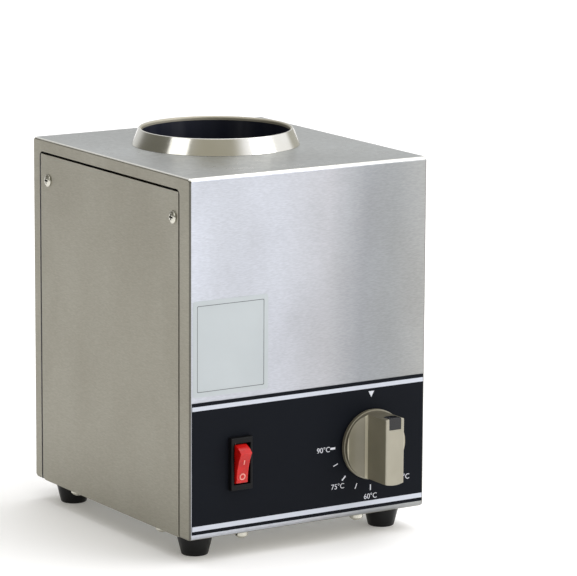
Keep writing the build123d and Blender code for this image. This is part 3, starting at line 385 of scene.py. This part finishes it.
def rocker_plastic():
    """Translucent red moulding."""
    made, tree, shader = start_material(
        "rocker_plastic",
        Transmission_Weight=0.12,
        Subsurface_Weight=0.25,
        Subsurface_Scale=0.002,
        Subsurface_Radius=(1.0, 0.25, 0.15),
        Coat_Weight=0.22,
        Specular_IOR_Level=0.3,
        Coat_Roughness=0.08,
        IOR=1.49,
    )
    swirl = noise(tree, 150.0, (1, 1, 1), 3.0)
    swirled = varied(tree, swirl, 0.0, 1.0)
    colour = blend_colours(tree, swirled, display(186, 12, 10), display(212, 24, 18))
    dress(tree, shader, colour, varied(tree, swirl, 0.16, 0.26))
    return made


def sticker_paper():
    """Plain pale sticker under a thin film."""
    made, tree, shader = start_material("sticker_paper", Coat_Weight=0.35, Coat_Roughness=0.2)
    clouds = noise(tree, 30.0, (1, 1, 1), 3.0)
    fibres = noise(tree, 1500.0, (1, 1, 1), 2.0)
    cloudy = varied(tree, clouds, 0.0, 1.0)
    colour = blend_colours(tree, cloudy, display(177, 184, 187), display(184, 191, 194))
    dress(tree, shader, colour, varied(tree, fibres, 0.38, 0.5), (fibres, 0.05, 0.03 * MM))
    return made


def glass_fibre():
    """Felted glass fibre: tangled strands in its colour and relief."""
    made, tree, shader = start_material("glass_fibre", Roughness=0.95, Sheen_Weight=0.3)
    strands = noise(tree, 700.0, (1, 1, 0.2), 5.0)
    tufts = noise(tree, 90.0, (1, 1, 1), 4.0)
    tone = calculate(
        tree, "MULTIPLY", varied(tree, strands, 0.4, 1.0), varied(tree, tufts, 0.6, 1.0)
    )
    colour = blend_colours(tree, tone, display(186, 172, 140), display(236, 228, 206))
    dress(tree, shader, colour, relief=(strands, 0.5, 0.6 * MM))
    return made


overlay_film = surface(
    "overlay_film",
    display(18, 21, 27),
    0.5,
    0.1,
    25.0,
    2600.0,
    relief=0.1,
    depth=0.03 * MM,
    Specular_IOR_Level=0.06,
)
stripe_ink = surface("stripe_ink", display(198, 203, 214), 0.4, 0.03, 30.0, 2600.0, relief=0.06)
dial_ink = surface("dial_ink", display(214, 216, 224), 0.45, 0.05, 60.0, 2600.0, relief=0.06)
pointer_plastic = surface(
    "pointer_plastic", display(14, 14, 16), 0.24, 0.1, 80.0, 1500.0, relief=0.06
)
switch_plastic = surface(
    "switch_plastic",
    display(15, 15, 16),
    0.4,
    0.12,
    120.0,
    2400.0,
    relief=0.18,
    Specular_IOR_Level=0.16,
)
thermostat_case = surface("thermostat_case", display(206, 200, 180), 0.5, 0.06, 60.0, 1500.0)
block_plastic = surface("block_plastic", display(228, 226, 216), 0.45, 0.05, 60.0, 1500.0)
gland_plastic = surface(
    "gland_plastic", display(30, 30, 32), 0.45, 0.12, 90.0, 1800.0, relief=0.2
)
lamp_glass = surface(
    "lamp_glass",
    display(250, 200, 170),
    0.08,
    0.04,
    200.0,
    900.0,
    relief=0.02,
    Transmission_Weight=0.9,
)
sticker_line = surface(
    "sticker_line", display(104, 108, 110), 0.45, 0.04, 60.0, 2000.0, relief=0.05
)
mark_ink = surface("mark_ink", display(232, 158, 146), 0.4, 0.05, 60.0, 2000.0, relief=0.05)
well_coating = dark_lining()
foot_rubber = rubber()
knob_moulding = knob_plastic("knob_plastic", display(147, 143, 126), display(159, 154, 137), 0.5)
# Painted shade: darker copy of the moulding on the scoops.
knob_scoop_painted_shade = knob_plastic("knob_scoop_painted_shade", display(128, 124, 107), display(140, 135, 118), 0.1)
# Painted highlight: lighter copy of the moulding on the ledges.
knob_ledge_painted_highlight = knob_plastic("knob_ledge_painted_highlight", display(192, 187, 166), display(202, 197, 177), 0.6)
# Painted shade: darker copies of the moulding on the rim's side and the grip's sides.
knob_rim_painted_shade = knob_plastic("knob_rim_painted_shade", display(92, 88, 74), display(104, 99, 84), 0.0)
knob_grip_side_painted_shade = knob_plastic(
    "knob_grip_side_painted_shade", display(108, 104, 87), display(120, 115, 98), 0.0
)
rocker_red = rocker_plastic()
sticker_face = sticker_paper()
fibre_felt = glass_fibre()

# ---------------------------------------------------------------- modelling helpers


def deselect():
    bpy.ops.object.select_all(action="DESELECT")


def make_active(piece):
    deselect()
    piece.select_set(True)
    bpy.context.view_layer.objects.active = piece


def apply_modifier(piece, kind, **settings):
    make_active(piece)
    bpy.ops.object.modifier_add(type=kind)
    added = piece.modifiers[-1]
    for name, value in settings.items():
        setattr(added, name, value)
    bpy.ops.object.modifier_apply(modifier=added.name)


def hand_over(piece, name, material, body, smooth_angle=32, flat_faces=False):
    """Applies a piece's place, gives it its name, finish and body."""
    make_active(piece)
    bpy.ops.object.transform_apply(location=True, rotation=True, scale=True)
    piece.name = name
    if material:
        piece.data.materials.clear()
        piece.data.materials.append(material)
    bpy.ops.object.shade_smooth_by_angle(angle=radians(smooth_angle))
    if flat_faces:
        apply_modifier(piece, "WEIGHTED_NORMAL", weight=100, keep_sharp=True)
    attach(piece, body)
    return piece


def copy_of(node_name):
    """Free copy of a node's mesh, its triangles merged and its flat faces made whole."""
    make_active(frame["nodes"][node_name])
    bpy.ops.object.duplicate()
    piece = bpy.context.object
    bpy.ops.object.parent_clear(type="CLEAR_KEEP_TRANSFORM")
    bpy.ops.object.mode_set(mode="EDIT")
    bpy.ops.mesh.select_all(action="SELECT")
    bpy.ops.mesh.remove_doubles(threshold=0.01 * MM)
    bpy.ops.mesh.dissolve_limited(angle_limit=radians(0.5))
    bpy.ops.object.mode_set(mode="OBJECT")
    return piece


def softened(node_name, name, material, body, width, segments=2):
    """Stands for a node whose edges are eased by a small round of this width."""
    piece = copy_of(node_name)
    apply_modifier(
        piece,
        "BEVEL",
        width=width,
        segments=segments,
        limit_method="ANGLE",
        angle_limit=radians(34),
        use_clamp_overlap=True,
    )
    hand_over(piece, name, material, body, smooth_angle=38, flat_faces=True)
    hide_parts(node_name)
    return piece


def finish_faces(piece, finishes, chosen):
    """Adds finishes to a piece's slots and gives each face the slot chosen for it."""
    for finish in finishes:
        piece.data.materials.append(finish)
    for face in piece.data.polygons:
        face.material_index = chosen(face)


def turned(centre_x, centre_y, profile, segments, closed=True):
    """Turned form about an upright axis: a circle extruded through its profile's (radius, z)."""
    deselect()
    radius, height = profile[0]
    bpy.ops.mesh.primitive_circle_add(
        vertices=segments,
        radius=radius,
        location=(centre_x, centre_y, height),
        fill_type="NOTHING" if closed else "NGON",
    )
    piece = bpy.context.object
    bpy.ops.object.mode_set(mode="EDIT")
    bpy.ops.mesh.select_all(action="SELECT")
    points = profile + [profile[0]] if closed else profile
    for (old_radius, old_height), (radius, height) in zip(points, points[1:]):
        rise = (0, 0, height - old_height)
        bpy.ops.mesh.extrude_edges_move(TRANSFORM_OT_translate={"value": rise})
        scale = radius / old_radius
        bpy.ops.transform.resize(
            value=(scale, scale, 1), center_override=(centre_x, centre_y, height)
        )
    if not closed:
        bpy.ops.mesh.edge_face_add()
    bpy.ops.mesh.select_all(action="SELECT")
    bpy.ops.mesh.remove_doubles(threshold=0.001 * MM)
    bpy.ops.mesh.normals_make_consistent(inside=False)
    bpy.ops.object.mode_set(mode="OBJECT")
    return piece


def arc(centre, radius, start, end, steps):
    """Points of an arc in a profile, its angles in degrees from outward, turning up."""
    turns = [radians(start + (end - start) * step / steps) for step in range(steps + 1)]
    return [(centre[0] + radius * cos(turn), centre[1] + radius * sin(turn)) for turn in turns]


def printed(outline, depth=0.03 * MM, face_y=overlay_y, hole=()):
    """Thin print on an upright face: outline in X and Z, with a hole of as many points."""
    mesh = bpy.data.meshes.new("print")
    count = len(outline)
    faces = [tuple(range(count))]
    if hole:
        faces = [
            (at, (at + 1) % count, count + (at + 1) % count, count + at) for at in range(count)
        ]
    mesh.from_pydata([(x, face_y - depth, z) for x, z in [*outline, *hole]], [], faces)
    piece = bpy.data.objects.new("print", mesh)
    bpy.context.collection.objects.link(piece)
    make_active(piece)
    bpy.ops.object.mode_set(mode="EDIT")
    bpy.ops.mesh.select_all(action="SELECT")
    bpy.ops.mesh.extrude_region_move(TRANSFORM_OT_translate={"value": (0, depth, 0)})
    bpy.ops.mesh.select_all(action="SELECT")
    bpy.ops.mesh.normals_make_consistent(inside=False)
    bpy.ops.object.mode_set(mode="OBJECT")
    return piece


def joined(pieces):
    deselect()
    for piece in pieces:
        piece.select_set(True)
    bpy.context.view_layer.objects.active = pieces[0]
    bpy.ops.object.join()
    return bpy.context.object


# ---------------------------------------------------------------- collar and well lining

collar_top = collar_high[2]
collar_outer = collar_high[0]
collar_cone = 3.5 * MM  # how far its outside leans in
collar_lip = 2.0 * MM
collar_bore = 39.0 * MM
collar_edge = 0.4 * MM
collar_flare = 1.1 * MM  # round of the lip's inner edge
cone_slope = 67.6  # degrees that its outside stands from level
cone_foot_rise, cone_foot_inset = 0.15 * MM, 0.1 * MM
bore_facing = 0.3  # how squarely a face has to look into the well to be the bore's, from 0 to 1
pot_gap = 0.1 * MM
skirt_wall = 2.1 * MM

lip_radius = collar_outer - collar_cone
pot_radius = (pot_high[0] - pot_low[0]) / 2
skirt_inner = pot_radius + pot_gap
skirt_outer = skirt_inner + skirt_wall
collar_profile = [
    (skirt_inner, collar_low[2]),
    (skirt_inner, collar_top - collar_lip),
    (collar_bore, collar_top - collar_lip),
    *arc((collar_bore + collar_flare, collar_top - collar_flare), collar_flare, 180, 90, 10),
    *arc((lip_radius - collar_edge, collar_top - collar_edge), collar_edge, 90, 90 - cone_slope, 6),
    (collar_outer, body_top + cone_foot_rise),
    (collar_outer - cone_foot_inset, body_top),
    (skirt_outer, body_top),
    (skirt_outer, collar_low[2]),
]
collar_ring = turned(well_x, well_y, collar_profile, 256)
hand_over(collar_ring, "collar_ring", collar_steel, "box", 40)


def part_of_collar(face):
    """Slot of the collar's finish: the polish, and the satin inside of its lip."""
    polish, bore = range(2)
    outward = Vector((face.center.x - well_x, face.center.y - well_y, 0)).normalized()
    looks_inward = face.normal.dot(outward) < -bore_facing
    return bore if looks_inward and face.center.z > collar_top - collar_lip else polish


finish_faces(collar_ring, (bore_steel,), part_of_collar)
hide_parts("collar")

pot_wall = 1.2 * MM
pot_corner = 7.0 * MM
pot_inner = pot_radius - pot_wall
inner_corner = pot_corner - pot_wall
pot_profile = [
    *arc((pot_radius - pot_corner, pot_low[2] + pot_corner), pot_corner, -90, 0, 8),
    (pot_radius, pot_high[2]),
    (pot_inner, pot_high[2]),
    *arc((pot_inner - inner_corner, pot_low[2] + pot_corner), inner_corner, 0, -90, 8),
]
well_lining = turned(well_x, well_y, pot_profile, 192, closed=False)
hand_over(well_lining, "well_lining", well_coating, "box", 40)
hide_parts("well_pot")

# ---------------------------------------------------------------- casing and side panels


# How squarely a face of the casing looks up, to the front or to a side, from 0 to 1.
edge_least, edge_most = 0.38, 0.96
bend_facing = 0.25
flat_facing = 0.6


def part_of_casing(face):
    """Slot of the casing's finish: side (painted shade), front (painted reflection), top (painted
    light), the eased top edges (painted highlight), the upright bends (painted shade).
    """
    side, front, top, edge, bend = range(5)
    if edge_least < face.normal.z < edge_most:
        return edge
    if abs(face.normal.x) > bend_facing and abs(face.normal.y) > bend_facing:
        return bend
    if face.normal.y < -flat_facing:
        return front
    return top if face.normal.z > flat_facing else side


casing_shell = copy_of("casing")
casing_shell.data.materials.clear()
finish_faces(
    casing_shell, (side_steel_painted_shade, front_steel, top_steel_painted_light, edge_painted_highlight, bend_painted_shade), part_of_casing
)
hand_over(casing_shell, "casing_shell", None, "box", 30, True)
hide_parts("casing")

# The side panels take the side steel, painted darker as shade.
for side in ("left", "right"):
    softened(
        f"{side}_side_panel",
        f"{side}_panel_sheet",
        side_steel_painted_shade,
        "box",
        0.25 * MM,
    )

# ---------------------------------------------------------------- knob, switch and feet

# Reaches of the grip and the scoops, from the knob's middle.
grip_half = 5.6 * MM
grip_reach = 6.4 * MM
scoop_start = 7.5 * MM
scoop_radius = 16.6 * MM
ledge_start = 10 * MM  # behind the front of the grip

# How squarely a face of the knob looks to the front or to a side, from 0 to 1.
rim_facing = 0.25
scoop_facing = 0.5
square_facing = 0.9
slope_facing = 0.95


def part_of_knob(face):
    """Slot of the knob's finish: moulding, scoops (painted shade), the grip's sides (painted shade),
    ledges (painted highlight), the rim's side (painted shade).
    """
    moulding, scoop, grip_side, ledge, rim = range(5)
    aside = abs(face.center.x - knob_x)
    from_axis = sqrt(aside**2 + (face.center.z - knob_z) ** 2)
    toward_front = -face.normal.y
    low_down = face.center.y > knob_low[1] + ledge_start
    if toward_front < rim_facing and from_axis > scoop_radius:
        return rim
    if abs(face.normal.x) > square_facing and aside < grip_reach:
        return grip_side
    if low_down and toward_front > square_facing and grip_half < aside < scoop_start:
        return ledge
    if low_down and rim_facing < toward_front < slope_facing and from_axis > scoop_radius:
        return ledge
    if toward_front > scoop_facing and aside > scoop_start and from_axis < scoop_radius:
        return scoop
    return moulding


knob_cap = softened("knob", "knob_moulding", knob_moulding, "knob", 0.35 * MM, 3)
finish_faces(knob_cap, (knob_scoop_painted_shade, knob_grip_side_painted_shade, knob_ledge_painted_highlight, knob_rim_painted_shade), part_of_knob)
softened("knob_pointer", "pointer_insert", pointer_plastic, "knob", 0.25 * MM)
softened("switch_housing", "switch_bezel", switch_plastic, "box", 0.3 * MM)
rocker_cap = softened(
    "switch_rocker", "rocker_cap", rocker_red, "rocker", 0.3 * MM, 3
)
for corner in ("front_left", "front_right", "rear_left", "rear_right"):
    softened(f"foot_{corner}", f"rubber_foot_{corner}", foot_rubber, "box", 0.5 * MM, 3)

# ---------------------------------------------------------------- screws and cable gland

screw_round = 0.12 * MM
head_radius = 3.3 * MM
recess_radius = 1.9 * MM
recess_start, recess_end = 0.3 * MM, 1.6 * MM  # in from the crowns of the heads
base_head_stretch = 2.0  # drawn deeper than the solids, so that they show under the front edge
base_head_start = 0.05 * MM  # below the body

panel_screw_heads = softened(
    "side_panel_screws",
    "side_panel_screws_finished",
    screw_steel,
    "box",
    screw_round,
)
screws_low, screws_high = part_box("side_panel_screws")


def part_of_screw(face):
    """Slot of a panel screw's finish: bright steel, and the shadow in its cross recess."""
    bright, recess = range(2)
    near_y = min(
        abs(face.center.y - screws_low[1] - head_radius),
        abs(face.center.y - screws_high[1] + head_radius),
    )
    from_axis = sqrt(near_y**2 + (face.center.z - screws_high[2] + head_radius) ** 2)
    sunk = screws_high[0] - abs(face.center.x)
    in_recess = from_axis < recess_radius and recess_start < sunk < recess_end
    return recess if in_recess else bright


finish_faces(panel_screw_heads, (recess_shadow,), part_of_screw)

base_screw_heads = softened(
    "base_screws", "base_screws_finished", screw_steel, "box", screw_round
)
for vertex in base_screw_heads.data.vertices:
    below = body_bottom - vertex.co.z
    if below > base_head_start:
        vertex.co.z = body_bottom - below * base_head_stretch

softened("foot_screws", "foot_screws_finished", screw_steel, "box", screw_round)
softened("cable_gland", "gland_body", gland_plastic, "box", 0.5 * MM, 3)
softened("gland_nut", "gland_dome", gland_plastic, "box", 0.4 * MM, 3)

# ---------------------------------------------------------------- printing on the control overlay

stripe_margin = 1.8 * MM
upper_stripe, lower_stripe = 2.2 * MM, 2.5 * MM
upper_edge = overlay_high[2] - stripe_margin
lower_edge = overlay_low[2] + stripe_margin
stripe_bars = []
for low_z, high_z in (
    (upper_edge - upper_stripe, upper_edge),
    (lower_edge, lower_edge + lower_stripe),
):
    stripe_bars.append(
        printed(
            [
                (overlay_low[0], low_z),
                (overlay_high[0], low_z),
                (overlay_high[0], high_z),
                (overlay_low[0], high_z),
            ]
        )
    )
hand_over(joined(stripe_bars), "overlay_stripes", stripe_ink, "box")

dial_radius = 21.9 * MM
dial_tick = 3.0 * MM
dial_step = 22.5  # degrees from one tick to the next
# Ticks: steps clockwise from the right, and the width in millimetres.
dial_ticks = ((8, 1.1), (7, 0.5), (6, 0.8), (5, 0.5), (4, 0.65), (3, 0.5), (2, 0.8))
# Numbers: digits, steps clockwise from the right, and the reach past the ticks in millimetres.
dial_numbers = (("90", 8, 4.2), ("75", 6, 3.7), ("60", 4, 2.9), ("45", 2, 3.7))
arrow_tip, arrow_base, arrow_width = 24.4 * MM, 27.6 * MM, 3.5 * MM
digit_size = 3.9 * MM
digit_drop = 0.35 * MM
digit_depth = 0.03 * MM


def on_dial(radius, angle, sideways=0.0):
    """Place on the dial, its angle counted from the right, sideways along the turn."""
    turn = radians(angle)
    return (
        knob_x + radius * cos(turn) - sideways * sin(turn),
        knob_z + radius * sin(turn) + sideways * cos(turn),
    )


def tick(angle, width):
    inner, outer = dial_radius, dial_radius + dial_tick
    return printed(
        [
            on_dial(inner, angle, -width / 2),
            on_dial(outer, angle, -width / 2),
            on_dial(outer, angle, width / 2),
            on_dial(inner, angle, width / 2),
        ]
    )


def written(words, place_x, place_z):
    """Words on the overlay, made a thin mesh."""
    deselect()
    bpy.ops.object.text_add(
        location=(place_x, overlay_y - digit_depth, place_z), rotation=(pi / 2, 0, 0)
    )
    piece = bpy.context.object
    piece.data.body = words
    piece.data.size = digit_size
    piece.data.extrude = digit_depth / 2
    piece.data.align_x = "CENTER"
    piece.data.align_y = "CENTER"
    bpy.ops.object.convert(target="MESH")
    return bpy.context.object


dial_pieces = []
for step, width in dial_ticks:
    dial_pieces.append(tick(-dial_step * step, width * MM))
dial_pieces.append(
    printed(
        [
            (knob_x, knob_z + arrow_tip),
            (knob_x + arrow_width / 2, knob_z + arrow_base),
            (knob_x - arrow_width / 2, knob_z + arrow_base),
        ]
    )
)
for digits, step, reach in dial_numbers:
    place_x, place_z = on_dial(dial_radius + dial_tick + reach * MM, -dial_step * step)
    dial_pieces.append(written(digits + "°C", place_x, place_z - digit_drop))
hand_over(joined(dial_pieces), "dial_print", dial_ink, "box")

# ---------------------------------------------------------------- bare sticker on the front

sticker_left = left_x + 1.8 * MM
sticker_width, sticker_height = 44.2 * MM, 49.0 * MM
sticker_bottom = body_bottom + 73.9 * MM
sticker_depth = 0.12 * MM
sticker_corner = 1.2 * MM
border_inset, border_width, border_depth = 2.4 * MM, 0.35 * MM, 0.14 * MM
border_corner = 0.6 * MM


def sticker_outline(inset, radius):
    """Sticker's outline moved in by an inset, with rounded corners."""
    low_x, high_x = sticker_left + inset, sticker_left + sticker_width - inset
    low_z, high_z = sticker_bottom + inset, sticker_bottom + sticker_height - inset
    corners = (
        (high_x - radius, low_z + radius, -90),
        (high_x - radius, high_z - radius, 0),
        (low_x + radius, high_z - radius, 90),
        (low_x + radius, low_z + radius, 180),
    )
    return [
        point
        for centre_x, centre_z, start in corners
        for point in arc((centre_x, centre_z), radius, start, start + 90, 5)
    ]


sticker = printed(sticker_outline(0, sticker_corner), sticker_depth, front_y)
hand_over(sticker, "front_sticker", sticker_face, "box")
border = printed(
    sticker_outline(border_inset, border_corner),
    border_depth,
    front_y,
    sticker_outline(border_inset + border_width, border_corner),
)
hand_over(border, "sticker_border", sticker_line, "box")

# ---------------------------------------------------------------- marks on the rocker

rocker_low, rocker_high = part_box("switch_rocker")
rocker_slim = 0.84  # the cap's width against the solid's, its left wall kept in place
ring_radius, ring_wire = 1.45 * MM, 0.34 * MM
ring_height, bar_height = 3.9 * MM, 11.6 * MM  # above the rocker's foot
bar_size = (0.5, 2.7, 0.16)  # millimetres: its width, its length and its thickness

make_active(rocker_cap)
bpy.ops.object.mode_set(mode="EDIT")
bpy.ops.mesh.select_all(action="SELECT")
bpy.ops.transform.resize(value=(rocker_slim, 1, 1), center_override=tuple(rocker_low))
bpy.ops.object.mode_set(mode="OBJECT")
face_middle_x = rocker_low[0] + (rocker_high[0] - rocker_low[0]) * rocker_slim / 2


def on_rocker(height):
    """Place on the rocker's face at this height, and how far it leans from upright."""
    _hit, place, normal, _face = rocker_cap.ray_cast(
        Vector((face_middle_x, rocker_low[1] - MM, height)), Vector((0, 1, 0))
    )
    return place, acos(max(-1.0, min(1.0, -normal.y))) * (1 if normal.z > 0 else -1)


ring_place, ring_lean = on_rocker(rocker_low[2] + ring_height)
deselect()
bpy.ops.mesh.primitive_torus_add(
    major_segments=48,
    minor_segments=10,
    major_radius=ring_radius,
    minor_radius=ring_wire,
    location=ring_place,
    rotation=(pi / 2 - ring_lean, 0, 0),
)
ring_mark = bpy.context.object
bar_place, bar_lean = on_rocker(rocker_low[2] + bar_height)
bpy.ops.mesh.primitive_cube_add(
    size=MM, location=bar_place, rotation=(pi / 2 - bar_lean, 0, 0), scale=bar_size
)
bar_mark = bpy.context.object
apply_modifier(bar_mark, "BEVEL", width=0.05 * MM, segments=2)
hand_over(
    joined([ring_mark, bar_mark]), "rocker_marks", mark_ink, "rocker", 60
)

# ---------------------------------------------------------------- finishes of the part's own nodes

node_finishes = {
    plain_steel: ("casing",),
    side_steel_painted_shade: ("left_side_panel", "right_side_panel"),
    collar_steel: ("collar",),
    well_coating: ("well_pot",),
    zinc_sheet: ("base_plate", "pot_hanger_ring", "jacket_straps", "bulb_clips"),
    tab_painted_shade: ("panel_tabs",),
    screw_steel: (
        "side_panel_screws",
        "base_screws",
        "foot_screws",
        "foot_nuts",
        "hanger_studs",
        "hanger_nuts",
        "heater_clamp_screws",
        "heater_clamp_nuts",
        "cutout_studs",
        "cutout_nuts",
        "thermostat_screws",
        "terminal_block_screws",
        "thermostat_spindle",
        "knob_spring_clip",
    ),
    heater_sheet: ("heater_band",),
    fibre_felt: ("insulation_jacket",),
    cutout_case: ("thermal_cutout",),
    overlay_film: ("control_overlay",),
    knob_moulding: ("knob",),
    pointer_plastic: ("knob_pointer",),
    thermostat_case: ("thermostat_body",),
    copper: ("capillary_tube", "sensor_bulb"),
    brass: (
        "switch_terminals",
        "terminal_pole_screws",
        "earth_stud",
        "earth_nuts",
        "heater_terminals",
    ),
    switch_plastic: ("switch_housing",),
    rocker_red: ("switch_rocker",),
    lamp_glass: ("switch_lamp",),
    gland_plastic: ("cable_gland", "gland_nut", "gland_locknut"),
    block_plastic: ("terminal_block",),
    foot_rubber: (
        "foot_front_left",
        "foot_front_right",
        "foot_rear_left",
        "foot_rear_right",
        "gland_seal",
    ),
}
for node_finish, names in node_finishes.items():
    for name in names:
        materials = frame["nodes"][name].data.materials
        materials.clear()
        materials.append(node_finish)

# ---------------------------------------------------------------- camera

camera_place = Vector((-1.0086, -1.6495, 0.5002))
camera_azimuth = radians(32.35)
camera_elevation = radians(11.06)
camera_roll = radians(0.31)
camera_lens = 234.28
sensor_width = 36.0


def set_camera():
    forward = Vector(
        (
            sin(camera_azimuth) * cos(camera_elevation),
            cos(camera_azimuth) * cos(camera_elevation),
            -sin(camera_elevation),
        )
    )
    deselect()
    bpy.ops.object.camera_add(location=camera_place)
    camera = bpy.context.object
    turn = forward.to_track_quat("-Z", "Y").to_matrix() @ Matrix.Rotation(camera_roll, 3, "Z")
    camera.rotation_euler = turn.to_euler()
    camera.data.lens = camera_lens
    camera.data.sensor_width = sensor_width
    bpy.context.scene.camera = camera


# ---------------------------------------------------------------- floor, light and surroundings


def set_floor():
    """Pale paper floor with a faint glow, which keeps the shadow under the box pale."""
    deselect()
    bpy.ops.mesh.primitive_plane_add(size=14)
    floor = bpy.context.object
    floor.name = "floor"
    made, tree, shader = start_material(
        "floor_paper", Roughness=0.8, Emission_Color=display(255, 252, 244), Emission_Strength=0.2
    )
    cloud = noise(tree, 2.0, (1, 1, 1), 2.0)
    dress(tree, shader, blend_colours(tree, cloud, display(238, 238, 238), display(240, 240, 240)))
    floor.data.materials.append(made)


def set_surroundings():
    """White backdrop for the camera; round it a pale room, dim on the left and behind the camera."""
    dim_room = (0.16, 0.155, 0.13, 1)
    backdrop = (1.2, 1.2, 1.2, 1)
    bright_sides = (  # where to, how near it starts and is full (cosines), colour
        ((0.8, -0.2, 0.55), -0.45, 0.25, (1.15, 1.15, 1.18, 1)),
        ((0.53, 0.84, 0.12), 0.6, 0.92, (0.74, 0.74, 0.73, 1)),
        ((0.88, 0.47, 0.05), 0.9, 0.98, (0.5, 0.49, 0.44, 1)),
        ((-0.435, -0.687, 0.56), 0.72, 0.93, (0.42, 0.40, 0.33, 1)),
    )
    world = bpy.data.worlds.new("studio")
    bpy.context.scene.world = world
    world.use_nodes = True
    tree = world.node_tree
    direction = add_node(tree, "ShaderNodeTexCoord").outputs["Generated"]
    colour = dim_room
    for aim, start, full, lit in bright_sides:
        toward = add_node(
            tree, "ShaderNodeVectorMath", {0: direction, 1: aim}, operation="DOT_PRODUCT"
        )
        near = spread(tree, toward.outputs["Value"], start, full, 0.0, 1.0, True)
        colour = blend_colours(tree, near, colour, lit)
    seen = add_node(tree, "ShaderNodeLightPath").outputs["Is Camera Ray"]
    colour = blend_colours(tree, seen, colour, backdrop)
    tree.links.new(colour, tree.nodes["Background"].inputs["Color"])


def overhead_sky(energy, spread_angle):
    """Broad soft light from above that whitens the floor and isn't mirrored in the steel."""
    deselect()
    bpy.ops.object.light_add(type="SUN", location=(0, 0, 3))
    sky = bpy.context.object
    sky.name = "overhead_sky"
    sky.data.energy = energy
    sky.data.angle = radians(spread_angle)
    sky.data.color = (0.97, 0.97, 1.0)
    sky.visible_glossy = False
    sky.rotation_euler = Vector((-0.35, 0.15, -1)).to_track_quat("-Z", "Y").to_euler()


def softbox(name, place, target, width, height, energy, lights_matt=True):
    """Soft lamp aimed at a target; one that doesn't light matt surfaces is only mirrored."""
    deselect()
    bpy.ops.object.light_add(type="AREA", location=place)
    lamp = bpy.context.object
    lamp.name = name
    lamp.data.shape = "RECTANGLE"
    lamp.data.size = width
    lamp.data.size_y = height
    lamp.data.energy = energy
    lamp.visible_diffuse = lights_matt
    lamp.rotation_euler = (Vector(target) - lamp.location).to_track_quat("-Z", "Y").to_euler()


set_camera()
set_floor()
set_surroundings()
overhead_sky(energy=1.0, spread_angle=60)
softbox("key_softbox", (1.15, -1.15, 0.95), (0, 0, 0.15), width=1.0, height=1.0, energy=6.0)
softbox("top_softbox", (0.35, 0.2, 1.5), (0, 0, 0.1), width=0.9, height=0.8, energy=4.0)
softbox("left_softbox", (-1.35, 0.02, 0.95), (0, 0, 0.2), 0.7, 1.0, 3.4, lights_matt=False)
bpy.context.scene.view_settings.view_transform = "Standard"
